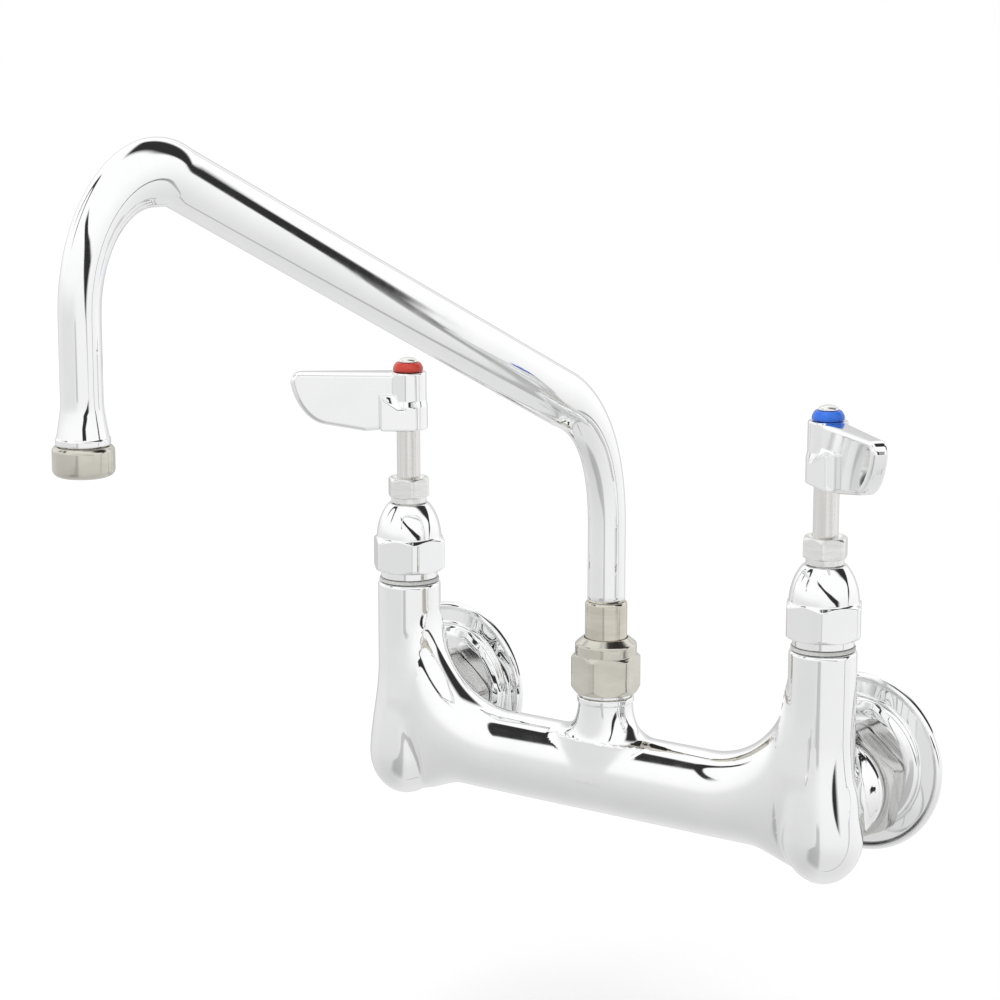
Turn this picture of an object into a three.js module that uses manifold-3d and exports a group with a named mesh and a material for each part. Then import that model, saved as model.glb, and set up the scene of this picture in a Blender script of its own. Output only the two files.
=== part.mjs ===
// Commercial wall faucet: two compression valves on one cast body, a swing spout between them,
// and a union with a round wall flange behind each valve. Millimetres, +Z up, the wall is the
// plane y = 0 and the room lies on the -y side. The origin is on the wall, midway between the
// two supply pipes.
import * as THREE from 'three';
import { mergeVertices } from 'three/addons/utils/BufferGeometryUtils.js';
import Module from 'manifold-3d';

const wasm = await Module();
wasm.setup();

// ---- Driving dimensions ---------------------------------------------------------------------
const INLET_CENTRES = 203.2; // between the two supply pipes
const AXIS_TO_WALL = 33.5; // from the valve axes back to the wall
const DATUM_RISE = 3; // the body's datum level above the supply pipes
const GAP = 0.3; // running and seating clearance between touching pieces

// Cast body
const TOWER_RADIUS = 13.4;
const TOWER_TOP = 49.6; // above the datum, like every level in the body
const TOWER_CHAMFER = 1.2;
const BULB_RADIUS = 16.2;
const BULB_HEIGHT = -25; // level of the widest section
const BULB_BOTTOM = -45.6;
const BULB_LEAN = 2; // how far the bulb sits outboard of the valve axis
const BULB_BLEND_TOP = 14; // level where the tower becomes a plain cylinder
const BAR_TOP = 0;
const BAR_BOTTOM = -35.2;
const BAR_HALF_DEPTH = 13;
const BAR_FILLET = 39; // radius of the hollow between bar and tower
const BAR_FOOT = 24; // length over which the bar's underside drops to the bulb
const BOSS_RADIUS = 11.7;
const BOSS_TOP = 15.2;
const BOSS_LIP = 2.6;
const BOSS_FLARE_WIDTH = 11.5;
const BOSS_FLARE_HEIGHT = 15;
const HUB_RADIUS = 20; // round hub behind each tower
const HUB_BACK = 17; // its back face, behind the valve axis
const HUB_DROP = 10; // the hub's axis lies this far below the datum
const HUB_FLARE = 6; // length over which the hub spreads behind the tower
const BAR_BORE = 9.4;
const BAR_BORE_END = 38; // the bar's bore stops this far inboard of the valve axes
const PASSAGE_BORE = 6.4; // slanting waterway from valve chamber to bar
const PASSAGE_TOP = 2; // its upper end, inboard of the valve axis
const PASSAGE_FOOT = 44; // its lower end, inboard of the valve axis
const CHAMBER_BORE = 10.6; // above and below the seat
const CHAMBER_FLOOR = -36;
const SEAT_WEB = 8; // thickness of the web that carries the seat

// Valve
const BONNET_FLATS = 28.7;
const BONNET_HEX_HEIGHT = 14.2;
const BONNET_NECK = 3.2; // plain neck between gasket and hexagon
const BONNET_NECK_RADIUS = 12.1;
const DOME_HEIGHT = 14.6;
const DOME_TOP_RADIUS = 8.5;
const BONNET_REACH = 28; // length of thread below the gasket
const GASKET_THICKNESS = 1.4;
const GASKET_RADIUS = 12.7;
const PACKING_FLATS = 16.4;
const PACKING_HEX_HEIGHT = 8.4;
const PACKING_COLLAR_RADIUS = 7.5;
const PACKING_COLLAR_HEIGHT = 2.4;
const PACKING_THICKNESS = 4.2;
const GLAND_WASHER_THICKNESS = 1.4;
const GLAND_SHANK = 6.6; // length of the packing nut's shank in the bonnet
const GLAND_RADIUS = 6.6;
const STEM_RADIUS = 5;
const STEM_THREAD_RADIUS = 7.6;
const STEM_THREAD_LENGTH = 24;
const STEM_SHOWING = 20.7; // bare stem between packing nut and lever
const SPLINE_RADIUS = 4.1;
const SPLINE_LENGTH = 19;
const WASHER_CUP_RADIUS = 6.9;
const WASHER_CUP_HEIGHT = 3;
const SEAT_WASHER_RADIUS = 6.5;
const SEAT_WASHER_THICKNESS = 3;
const SEAT_RADIUS = 7.3;
const SEAT_FLANGE_RADIUS = 9.2;
const SEAT_FLANGE_HEIGHT = 1.7;
const SEAT_BEAD = 0.8;
const SEAT_BORE = 4.6;
const WASHER_SCREW_RADIUS = 1.7;
const WASHER_SCREW_HEAD = 3.2;
const WASHER_SCREW_LENGTH = 8;

// Lever
const LEVER_LENGTH = 49.7; // valve axis to tip
const LEVER_HEIGHT = 24.6;
const LEVER_ROOT_WIDTH = 11;
const LEVER_TIP_WIDTH = 6.7;
const LEVER_BEVEL = 1.3;
const HUB_CYLINDER_RADIUS = 7.8; // upper part of the lever's hub
const LOWER_HUB_RADIUS = 8.3;
const LOWER_HUB_HEIGHT = 11;
const SHORT_CHEEK = 11.5; // how far the lower hub's flat sides run out along the blade
const LONG_CHEEK = 17.5;
const CHEEK_HEIGHT = 9.2; // at the stem
const CHEEK_RISE = 5.5; // how much higher a cheek stands at its front end
const CHEEK_DISH = 6.4; // fall of its top towards the lever's middle
const CHEEK_EDGE = 0.8;
const BLADE_LOWEST = 18; // where the blade's underside hangs lowest
const BLADE_DROP = 0.6; // and how far below the hub
const HOT_LEVER_ANGLE = 216; // from +x, seen from above
const COLD_LEVER_ANGLE = 323;
const INDEX_RADIUS = 6.4;
const INDEX_TOP_RADIUS = 5.1;
const INDEX_HEIGHT = 3.6;
const HANDLE_SCREW_RADIUS = 1.9;
const HANDLE_SCREW_HEAD = 4;
const HANDLE_SCREW_DOME = 1.9;
const HANDLE_SCREW_LENGTH = 20;

// Union and wall flange
const TAIL_RADIUS = 10;
const TAIL_BORE = 7.2;
const TAIL_THREAD = 7; // length screwed into the hub
const TAIL_LIP_RADIUS = 13.2;
const TAIL_LIP = 2.3;
const UNION_NUT_FLATS = 43;
const UNION_NUT_TURN = -21.5; // how the hexagons happen to stand
const UNION_NUT_LENGTH = 10.4;
const UNION_NUT_SHOULDER = 3.2;
const UNION_WASHER_THICKNESS = 1.8;
const UNION_THREAD_RADIUS = 15;
const FLANGE_RADIUS = 36.5;
const FLANGE_PLATE = 1.6;
const FLANGE_RIM = 3.4; // height of the rolled rim in front of the wall
const FLANGE_RIM_WIDTH = 3;
const FLANGE_HUB_RADIUS = 27.5;
const PIPE_BORE = 10.4; // for the supply pipe's thread

// Swivel
const SWIVEL_NECK_RADIUS = 10.3;
const SWIVEL_NECK_LENGTH = 13.6;
const SWIVEL_BORE = 7.7;
const SWIVEL_NUT_FLATS = 25.6;
const SWIVEL_HEX_HEIGHT = 16;
const SWIVEL_COLLAR_RADIUS = 12.7;
const SWIVEL_COLLAR_HEIGHT = 7;
const SWIVEL_COLLAR_CHAMFER = 2.6;
const SLIP_WASHER_THICKNESS = 1.3;
const SLEEVE_RADIUS = 8.65;
const SLEEVE_FLANGE_RADIUS = 10.2;
const SLEEVE_FLANGE = 2;
const SLEEVE_SHOWING = 15;
const SLEEVE_TAIL_RADIUS = 7.4;
const SLEEVE_TAIL_LENGTH = 17.5;
const SLEEVE_BORE = 4.4;
const O_RING_SECTION = 0.9; // radius of the rubber
const O_RING_CENTRE = 6.6;
const O_RING_FIRST = 3.4; // first groove above the sleeve's lower end
const O_RING_PITCH = 7;

// Spout
const SPOUT_TURN = 15; // degrees left of straight out at rest
const SPOUT_REACH = 244; // swivel axis to outlet axis
const SPOUT_RADIUS = 7.7; // at the swivel
const SPOUT_DROP_RADIUS = 7.6; // at the outlet
const SPOUT_OVAL = 0.63; // how much taller than wide the level tube is
const SPOUT_WALL = 1.6;
const SPOUT_SOCKET_RADIUS = 6.9; // turned-down end inside the sleeve
const SPOUT_SOCKET = 14;
const ARM_PITCH = 28.8; // degrees above level
const ARM_CORNER_HEIGHT = 127.9; // where the arm's line meets the swivel axis
const LOWER_BEND_DROP = 42; // the bend's length down the upright
const LOWER_BEND_RUN = 26; // and along the arm
const DROP_BEND_START = 192; // level where the drop turns plumb
const DROP_BEND_RUN = 42; // how far before the drop the arm starts to turn over
const OUTLET_LIP_RADIUS = 9.8;
const OUTLET_LIP = 2.7;
const OUTLET_FLARE = 13;
const OUTLET_THREAD_RADIUS = 8.6;
const OUTLET_THREAD = 4.4;
const OUTLET_RING_RADIUS = 11.2;
const OUTLET_RING_HEIGHT = 10.8;
const OUTLET_RING_ROUND = 2.6;
const OUTLET_BOTTOM = 136.8;
const STRAIGHTENER_HOLE = 1.3;
const STRAIGHTENER_THICKNESS = 1.9;
const OUTLET_WASHER_THICKNESS = 1.3;
const OUTLET_MOUTH = 7.4;

// Facets round a full turn
const FINE = 22;
const MEDIUM = 18;
const COARSE = 12;

// ---- Materials ------------------------------------------------------------------------------
const metal = (color, roughness) => new THREE.MeshStandardMaterial({ color, roughness, metalness: 1 });
const plastic = (color, roughness) => new THREE.MeshStandardMaterial({ color, roughness, metalness: 0 });
const CHROME = metal(0xe4e6e8, 0.05);
const SATIN_CHROME = metal(0xd6d7d4, 0.25);
const SATIN_NICKEL = metal(0xd2cbb8, 0.3);
const BRASS = metal(0xc9a55c, 0.35);
const RUBBER = plastic(0x1c1c1c, 0.7);
const FIBRE = plastic(0x8f908d, 0.8);
const WHITE_PLASTIC = plastic(0xe6e4dc, 0.5);
const RED_PLASTIC = plastic(0xcd3c32, 0.35);
const BLUE_PLASTIC = plastic(0x2f78e6, 0.35);

// ---- Solids ---------------------------------------------------------------------------------
const radians = THREE.MathUtils.degToRad;

/** Turns a closed three.js geometry into a solid for joining and cutting. */
function solid(geometry) {
  const bare = geometry.clone();
  bare.deleteAttribute('normal');
  bare.deleteAttribute('uv');
  const merged = mergeVertices(bare, 1e-4);
  return new wasm.Manifold(new wasm.Mesh({
    numProp: 3,
    vertProperties: new Float32Array(merged.attributes.position.array),
    triVerts: new Uint32Array(merged.index.array),
  }));
}

/** Turns a solid back into a geometry for a mesh. */
function geometryOf(body) {
  const { vertProperties, triVerts } = body.getMesh();
  const geometry = new THREE.BufferGeometry();
  geometry.setAttribute('position', new THREE.BufferAttribute(vertProperties, 3));
  geometry.setIndex(new THREE.BufferAttribute(triVerts, 1));
  geometry.computeVertexNormals();
  return geometry;
}

const join = (first, ...rest) => rest.reduce((body, next) => body.add(next), first);
const cut = (first, ...rest) => rest.reduce((body, next) => body.subtract(next), first);

/** A body of revolution about Z from [radius, height] pairs, listed upwards on the outside. */
function turned(profile, segments = MEDIUM) {
  const points = profile.map(([radius, height]) => new THREE.Vector2(radius, height));
  return solid(new THREE.LatheGeometry(points, segments).rotateX(Math.PI / 2));
}

/** A plain round bar between two heights. */
function rod(radius, bottom, top, segments = MEDIUM) {
  return turned([[0, bottom], [radius, bottom], [radius, top], [0, top]], segments);
}

/** A flat ring between two heights. */
function ring(inner, outer, bottom, top, segments = MEDIUM) {
  return turned([[inner, bottom], [outer, bottom], [outer, top], [inner, top], [inner, bottom]], segments);
}

/** A closed skin over a row of rings that all have the same number of points. */
function skin(rings) {
  const count = rings[0].length;
  const positions = rings.flat().flatMap((p) => [p.x, p.y, p.z]);
  const index = [];
  for (let row = 0; row < rings.length - 1; row += 1) {
    for (let i = 0; i < count; i += 1) {
      const a = row * count + i;
      const b = row * count + ((i + 1) % count);
      index.push(a, b, a + count, b, b + count, a + count);
    }
  }
  const last = (rings.length - 1) * count;
  for (let i = 1; i < count - 1; i += 1) {
    index.push(0, i + 1, i);
    index.push(last, last + i, last + i + 1);
  }
  const geometry = new THREE.BufferGeometry();
  geometry.setAttribute('position', new THREE.Float32BufferAttribute(positions, 3));
  geometry.setIndex(index);
  return solid(geometry);
}

/** An upright hexagonal bar with eased corners. */
function hexagon(flats, bottom, top) {
  const corner = flats / Math.sqrt(3);
  const ease = 0.07;
  const shape = new THREE.Shape();
  for (let i = 0; i < 6; i += 1) {
    for (const shift of [-ease, ease]) {
      const angle = radians(60 * i);
      const next = angle + Math.sign(shift) * radians(60);
      const x = corner * THREE.MathUtils.lerp(Math.cos(angle), Math.cos(next), Math.abs(shift));
      const y = corner * THREE.MathUtils.lerp(Math.sin(angle), Math.sin(next), Math.abs(shift));
      if (i === 0 && shift < 0) shape.moveTo(x, y);
      else shape.lineTo(x, y);
    }
  }
  const extruded = new THREE.ExtrudeGeometry(shape, { depth: top - bottom, bevelEnabled: false });
  return solid(extruded.translate(0, 0, bottom));
}

/** A hexagon whose corners are turned off at both ends, as a nut's are. */
function nutBlank(flats, bottom, top, chamferBottom, chamferTop) {
  const corner = flats / Math.sqrt(3);
  const face = flats / 2 - 0.2;
  const turnedOff = turned([
    [0, bottom], [face, bottom], [corner, bottom + chamferBottom],
    [corner, top - chamferTop], [face, top], [0, top],
  ], FINE);
  return hexagon(flats, bottom, top).intersect(turnedOff);
}

const smooth = (t) => THREE.MathUtils.smoothstep(t, 0, 1);

const root = new THREE.Group();

function addMesh(parent, name, body, material) {
  const mesh = new THREE.Mesh(geometryOf(body), material);
  mesh.name = name;
  parent.add(mesh);
}

// ---- Levels that several pieces share -------------------------------------------------------
const half = INLET_CENTRES / 2;
const gasketBottom = TOWER_TOP + GAP;
const bonnetSeat = gasketBottom + GASKET_THICKNESS + GAP;
const hexBottom = bonnetSeat + BONNET_NECK;
const hexTop = hexBottom + BONNET_HEX_HEIGHT;
const domeTop = hexTop + DOME_HEIGHT;
const collarBottom = domeTop + GAP;
const packingHexBottom = collarBottom + PACKING_COLLAR_HEIGHT;
const packingTop = packingHexBottom + PACKING_HEX_HEIGHT;
const shankBottom = collarBottom - GLAND_SHANK;
const glandWasherBottom = shankBottom - GAP - GLAND_WASHER_THICKNESS;
const packingBottom = glandWasherBottom - GAP - PACKING_THICKNESS;
const pocketFloor = packingBottom - GAP;
const stemGuideBottom = pocketFloor - 8;
const leverBottom = packingTop + STEM_SHOWING;
const leverTop = leverBottom + LEVER_HEIGHT;
const seatFlangeBottom = SEAT_WEB + GAP;
const seatTop = seatFlangeBottom + SEAT_FLANGE_HEIGHT + SEAT_BEAD;
const seatWasherBottom = seatTop + GAP;
const cupBottom = seatWasherBottom + SEAT_WASHER_THICKNESS + GAP;
const cupTop = cupBottom + WASHER_CUP_HEIGHT;
const stemTop = leverBottom + SPLINE_LENGTH;
const tailFront = HUB_BACK - TAIL_THREAD;
const nutFront = HUB_BACK + GAP;
const lipFront = nutFront + UNION_NUT_SHOULDER + GAP;
const lipBack = lipFront + TAIL_LIP;
const unionWasherFront = lipBack + GAP;
const spigotFront = unionWasherFront + UNION_WASHER_THICKNESS + GAP;
const neckTop = BOSS_TOP + SWIVEL_NECK_LENGTH;
const swivelHexBottom = BOSS_TOP + 1.6;
const swivelHexTop = swivelHexBottom + SWIVEL_HEX_HEIGHT;
const sleeveFlangeBottom = neckTop + GAP;
const slipWasherBottom = sleeveFlangeBottom + SLEEVE_FLANGE + GAP;
const swivelShoulder = slipWasherBottom + SLIP_WASHER_THICKNESS + GAP;
const collarTop = swivelHexTop + SWIVEL_COLLAR_HEIGHT;
const sleeveTop = collarTop + SLEEVE_SHOWING;
const sleeveBottom = sleeveFlangeBottom - SLEEVE_TAIL_LENGTH;
const barCentre = (BAR_TOP + BAR_BOTTOM) / 2;
const eccentricity = HUB_DROP - DATUM_RISE; // union axis below the supply pipe's axis

// ---- Cast body ------------------------------------------------------------------------------
/** Radius and outboard offset of the tower and its bulb at one level. */
function towerSection(level) {
  const below = smooth((BULB_BLEND_TOP - level) / (BULB_BLEND_TOP - BULB_HEIGHT));
  const lean = BULB_LEAN * smooth((BULB_BLEND_TOP - level) / (BULB_BLEND_TOP - BULB_BOTTOM));
  if (level >= BULB_HEIGHT) return { radius: TOWER_RADIUS + (BULB_RADIUS - TOWER_RADIUS) * below, lean };
  const depth = (BULB_HEIGHT - level) / (BULB_HEIGHT - BULB_BOTTOM);
  return { radius: BULB_RADIUS * Math.sqrt(1 - depth * depth), lean };
}

/** Outside of one tower: round rings from the bulb's bottom to the chamfered top. */
function tower(side) {
  const levels = [];
  for (let i = 1; i <= 6; i += 1) {
    levels.push(BULB_HEIGHT - (BULB_HEIGHT - BULB_BOTTOM) * Math.cos((i / 6.5) * Math.PI / 2));
  }
  for (let i = 1; i <= 6; i += 1) {
    levels.push(THREE.MathUtils.lerp(BULB_HEIGHT, BULB_BLEND_TOP, i / 6));
  }
  levels.push(TOWER_TOP - TOWER_CHAMFER, TOWER_TOP);
  return skin(levels.map((level) => {
    const { radius, lean } = towerSection(level);
    const trimmed = level === TOWER_TOP ? radius - TOWER_CHAMFER : radius;
    return circle(side * (half + lean), 0, level, trimmed, trimmed, FINE);
  }));
}

/** A level ring of points, anticlockwise from above. */
function circle(x, y, z, radiusX, radiusY, count) {
  const points = [];
  for (let i = 0; i < count; i += 1) {
    const angle = (2 * Math.PI * i) / count;
    points.push(new THREE.Vector3(x + radiusX * Math.cos(angle), y + radiusY * Math.sin(angle), z));
  }
  return points;
}

/** Upper and lower edge of the bar at a distance from the middle. */
function barSection(distance) {
  const filletStart = half - TOWER_RADIUS + 0.5 - BAR_FILLET;
  const run = Math.min(Math.max(distance - filletStart, 0), BAR_FILLET * 0.999);
  const rise = BAR_FILLET - Math.sqrt(BAR_FILLET * BAR_FILLET - run * run);
  const footStart = half - TOWER_RADIUS - BAR_FOOT * 0.7;
  const drop = (BAR_BOTTOM - BULB_BOTTOM) * 0.6 * smooth((distance - footStart) / BAR_FOOT);
  return { top: BAR_TOP + rise, bottom: BAR_BOTTOM - drop };
}

/** Outside of the bar: upright oval sections that grow into the towers. */
function bar() {
  const distances = [0, 0.3, 0.5, 0.6, 0.68, 0.75, 0.81, 0.855, 0.885, 1].map((share) => share * half);
  const stations = [...distances.slice(1).reverse().map((d) => -d), ...distances];
  return skin(stations.map((x) => {
    const { top, bottom } = barSection(Math.abs(x));
    const centre = (top + bottom) / 2;
    const points = [];
    for (let i = 0; i < FINE; i += 1) {
      const angle = (2 * Math.PI * i) / FINE;
      const y = BAR_HALF_DEPTH * Math.cos(angle);
      const z = centre + ((top - bottom) / 2) * Math.sin(angle);
      points.push(new THREE.Vector3(x, y, z));
    }
    return points;
  }));
}

/** Outside of the middle boss: a lip, then a hollow flare down to the bar. */
function boss() {
  const rings = [];
  const steps = 6;
  for (let i = 0; i <= steps; i += 1) {
    const t = i / steps;
    const spread = 1 - Math.sqrt(1 - (1 - t) * (1 - t));
    const level = BOSS_TOP - BOSS_LIP - BOSS_FLARE_HEIGHT * (1 - t);
    const wide = BOSS_RADIUS - 0.5 + BOSS_FLARE_WIDTH * spread;
    const deep = BOSS_RADIUS - 0.5 + (BAR_HALF_DEPTH - BOSS_RADIUS) * spread;
    rings.push(circle(0, 0, level, wide, deep, FINE));
  }
  const foot = circle(0, 0, barCentre, BOSS_RADIUS, BOSS_RADIUS, FINE);
  const flare = skin([foot, ...rings]);
  const lip = turned([
    [0, BOSS_TOP - BOSS_LIP], [BOSS_RADIUS - 0.4, BOSS_TOP - BOSS_LIP],
    [BOSS_RADIUS, BOSS_TOP - BOSS_LIP + 0.4], [BOSS_RADIUS, BOSS_TOP - 0.5],
    [BOSS_RADIUS - 0.5, BOSS_TOP], [0, BOSS_TOP],
  ], FINE);
  return join(flare, lip, rod(SWIVEL_NECK_RADIUS, barCentre, neckTop, FINE));
}

/** Turns a Z-axis solid so that its axis points at the wall, at hub level behind one valve. */
const towardsWall = (body, x) => body.rotate([-90, 0, 0]).translate([x, 0, -HUB_DROP]);

/** Outside of the round hub behind a tower. */
function hub(x) {
  const flareEnd = HUB_BACK - HUB_FLARE;
  const flareStart = flareEnd - HUB_FLARE * 0.65;
  return towardsWall(turned([
    [0, 0], [TOWER_RADIUS - 1, 0], [TOWER_RADIUS + 1.5, flareStart], [HUB_RADIUS - 2, flareEnd],
    [HUB_RADIUS, HUB_BACK - 3], [HUB_RADIUS, HUB_BACK - 1], [HUB_RADIUS - 1, HUB_BACK], [0, HUB_BACK],
  ], FINE), x);
}

/** The slanting waterway from a valve chamber down to the bar's bore. */
function passage(side) {
  const high = new THREE.Vector3(side * (half - PASSAGE_TOP), 0, SEAT_WEB + CHAMBER_BORE);
  const low = new THREE.Vector3(side * (half - PASSAGE_FOOT), 0, barCentre + 1);
  const along = new THREE.Vector3().subVectors(high, low);
  const bore = new THREE.CylinderGeometry(PASSAGE_BORE, PASSAGE_BORE, along.length(), COARSE);
  const upright = new THREE.Vector3(0, 1, 0);
  bore.applyQuaternion(new THREE.Quaternion().setFromUnitVectors(upright, along.clone().normalize()));
  const middle = new THREE.Vector3().addVectors(high, low).multiplyScalar(0.5);
  return solid(bore.translate(middle.x, middle.y, middle.z));
}

/** Everything that is bored out of the casting for one valve. */
function valveBores(side) {
  const x = side * half;
  const chamber = rod(CHAMBER_BORE, SEAT_WEB, TOWER_TOP + 1).translate([x, 0, 0]);
  const seatHole = rod(SEAT_RADIUS + GAP, -1, SEAT_WEB + 1).translate([x, 0, 0]);
  const lower = turned([
    [0, CHAMBER_FLOOR], [CHAMBER_BORE - 4, CHAMBER_FLOOR + 1.5],
    [CHAMBER_BORE - 0.8, CHAMBER_FLOOR + 8], [CHAMBER_BORE - 0.8, 0], [0, 0],
  ]).translate([x, 0, 0]);
  const inlet = towardsWall(rod(TAIL_BORE, 0, HUB_BACK), x);
  const thread = towardsWall(rod(TAIL_RADIUS + GAP, tailFront - GAP, HUB_BACK + 1), x);
  return join(chamber, seatHole, lower, inlet, thread, passage(side));
}

const barBoreEnd = half - BAR_BORE_END;
const barBore = rod(BAR_BORE, -barBoreEnd, barBoreEnd).rotate([0, 90, 0]).translate([0, 0, barCentre]);
const bossBore = rod(SWIVEL_BORE, barCentre, neckTop + 1);
const casting = cut(
  join(bar(), tower(-1), tower(1), boss(), hub(-half), hub(half)),
  barBore, bossBore, valveBores(-1), valveBores(1),
);

// ---- One valve, on its own axis -------------------------------------------------------------
/** Bonnet: neck and thread below, hexagon, then a dome with the gland pocket. */
function bonnet() {
  const bottom = bonnetSeat - BONNET_REACH;
  const threadRadius = CHAMBER_BORE - GAP;
  const domeFoot = BONNET_FLATS / 2 - 0.5;
  const dome = [];
  const lean = Math.sqrt(1 - (DOME_TOP_RADIUS / domeFoot) ** 2);
  for (let i = 0; i <= 6; i += 1) {
    const t = (i / 6) * Math.asin(lean);
    dome.push([domeFoot * Math.cos(t), hexTop - 1 + ((DOME_HEIGHT + 1) * Math.sin(t)) / lean]);
  }
  const crown = turned([[0, hexBottom], [BONNET_NECK_RADIUS, hexBottom], ...dome, [0, domeTop]], FINE);
  const skirt = turned([
    [0, bottom], [threadRadius, bottom], [threadRadius, bonnetSeat],
    [BONNET_NECK_RADIUS, bonnetSeat], [BONNET_NECK_RADIUS, hexBottom + 1], [0, hexBottom + 1],
  ]);
  const body = join(nutBlank(BONNET_FLATS, hexBottom, hexTop, 2, 1.6), crown, skirt);
  const inside = STEM_THREAD_RADIUS + GAP;
  return cut(
    body,
    rod(inside, bottom - 1, stemGuideBottom),
    rod(STEM_RADIUS + GAP, stemGuideBottom - 1, pocketFloor + 1),
    rod(GLAND_RADIUS + GAP, pocketFloor, domeTop + 1),
  );
}

/** Packing nut: chamfered hexagon on a round collar, with a shank that presses the packing. */
function packingNut() {
  const blank = nutBlank(PACKING_FLATS, packingHexBottom, packingTop, 0.8, 1.6);
  const collar = rod(PACKING_COLLAR_RADIUS, collarBottom, packingHexBottom + 1);
  const shank = rod(GLAND_RADIUS, shankBottom, collarBottom + 1);
  const bore = STEM_RADIUS + GAP;
  const countersink = turned([
    [0, packingTop - 2], [bore, packingTop - 2], [bore + 1.6, packingTop + 0.1], [0, packingTop + 0.1],
  ]);
  return cut(join(blank, collar, shank), rod(bore, shankBottom - 1, packingTop + 1), countersink);
}

/** Stem: spline for the lever, plain shaft, thread and the cup that backs the seat washer. */
function stem() {
  const threadTop = stemGuideBottom - 5;
  const threadBottom = threadTop - STEM_THREAD_LENGTH;
  const shaft = STEM_RADIUS + 0.4;
  const body = turned([
    [0, cupBottom], [WASHER_CUP_RADIUS, cupBottom], [WASHER_CUP_RADIUS, cupTop], [shaft, cupTop + 1],
    [shaft, threadBottom - 1], [STEM_THREAD_RADIUS, threadBottom], [STEM_THREAD_RADIUS, threadTop],
    [STEM_RADIUS, threadTop + 1], [STEM_RADIUS, leverBottom - GAP], [SPLINE_RADIUS, leverBottom - GAP],
    [SPLINE_RADIUS, stemTop], [0, stemTop],
  ]);
  const washerScrewHole = cupBottom + WASHER_SCREW_LENGTH - SEAT_WASHER_THICKNESS;
  const handleScrewHole = leverTop + GAP + INDEX_HEIGHT - HANDLE_SCREW_LENGTH - GAP;
  return cut(
    body,
    rod(WASHER_SCREW_RADIUS + GAP, cupBottom - 1, washerScrewHole + GAP, COARSE),
    rod(HANDLE_SCREW_RADIUS + GAP, handleScrewHole, stemTop + 1, COARSE),
  );
}

/** Renewable seat: threaded barrel through the web, flange and raised bead on top. */
function seat() {
  const beadRadius = (SEAT_BORE + SEAT_WASHER_RADIUS) / 2;
  return turned([
    [SEAT_BORE, GAP], [SEAT_RADIUS, GAP], [SEAT_RADIUS, seatFlangeBottom],
    [SEAT_FLANGE_RADIUS, seatFlangeBottom], [SEAT_FLANGE_RADIUS, seatTop - SEAT_BEAD],
    [beadRadius + 0.7, seatTop - SEAT_BEAD], [beadRadius, seatTop],
    [SEAT_BORE, seatTop - SEAT_BEAD], [SEAT_BORE, GAP],
  ]);
}

/** Screw that holds the seat washer in the stem's cup. */
function washerScrew() {
  const headTop = seatWasherBottom - GAP;
  return turned([
    [0, headTop - 1.6], [WASHER_SCREW_HEAD - 0.6, headTop - 1.6], [WASHER_SCREW_HEAD, headTop - 0.8],
    [WASHER_SCREW_HEAD, headTop], [WASHER_SCREW_RADIUS, headTop],
    [WASHER_SCREW_RADIUS, headTop + WASHER_SCREW_LENGTH], [0, headTop + WASHER_SCREW_LENGTH],
  ], COARSE);
}

// ---- Lever ----------------------------------------------------------------------------------
/** Side view of the blade, x along the lever and y up. */
function bladeOutline() {
  const tip = LEVER_LENGTH - LEVER_BEVEL;
  const top = leverTop - LEVER_BEVEL;
  const bottom = leverBottom + LEVER_BEVEL;
  const outline = new THREE.Shape();
  outline.moveTo(0, bottom);
  outline.lineTo(SHORT_CHEEK, bottom);
  outline.lineTo(BLADE_LOWEST, bottom - BLADE_DROP);
  outline.lineTo(LEVER_LENGTH * 0.71, bottom + 2.2);
  outline.bezierCurveTo(
    LEVER_LENGTH * 0.83, bottom + 3.2,
    tip - 1.6, leverTop - LEVER_HEIGHT * 0.535,
    tip, top - 3.4,
  );
  outline.quadraticCurveTo(tip + 0.2, top - 0.6, tip - 3, top);
  outline.lineTo(0, top);
  return outline;
}

/** Blade: the outline extruded, then drawn in towards the tip. */
function blade() {
  const depth = LEVER_ROOT_WIDTH - 2 * LEVER_BEVEL;
  const extruded = new THREE.ExtrudeGeometry(bladeOutline(), {
    depth, curveSegments: 8, bevelThickness: LEVER_BEVEL, bevelSize: LEVER_BEVEL, bevelSegments: 1,
  });
  extruded.translate(0, 0, -depth / 2).rotateX(Math.PI / 2);
  const position = extruded.attributes.position;
  for (let i = 0; i < position.count; i += 1) {
    const share = THREE.MathUtils.clamp(position.getX(i) / LEVER_LENGTH, 0, 1);
    const width = THREE.MathUtils.lerp(LEVER_ROOT_WIDTH, LEVER_TIP_WIDTH, share);
    position.setY(i, (position.getY(i) * width) / LEVER_ROOT_WIDTH);
  }
  return solid(extruded);
}

/** Flat side of the lower hub beside the blade: ends square, with a dished top that rises forwards. */
function cheek(reach) {
  const outline = (front, width, heights) => [
    new THREE.Vector3(0, 0, leverBottom + heights[0]),
    new THREE.Vector3(front, 0, leverBottom + heights[1]),
    new THREE.Vector3(front, width, leverBottom + heights[2]),
    new THREE.Vector3(0, width, leverBottom + heights[3]),
  ];
  const frontHeight = CHEEK_HEIGHT + CHEEK_RISE;
  const edge = CHEEK_EDGE;
  return skin([
    outline(reach - edge, LOWER_HUB_RADIUS - edge, [0, 0, 0, 0]),
    outline(reach, LOWER_HUB_RADIUS, [edge, edge, edge, edge]),
    outline(reach, LOWER_HUB_RADIUS, [CHEEK_HEIGHT, frontHeight - CHEEK_DISH, frontHeight, CHEEK_HEIGHT]),
  ]);
}

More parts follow.
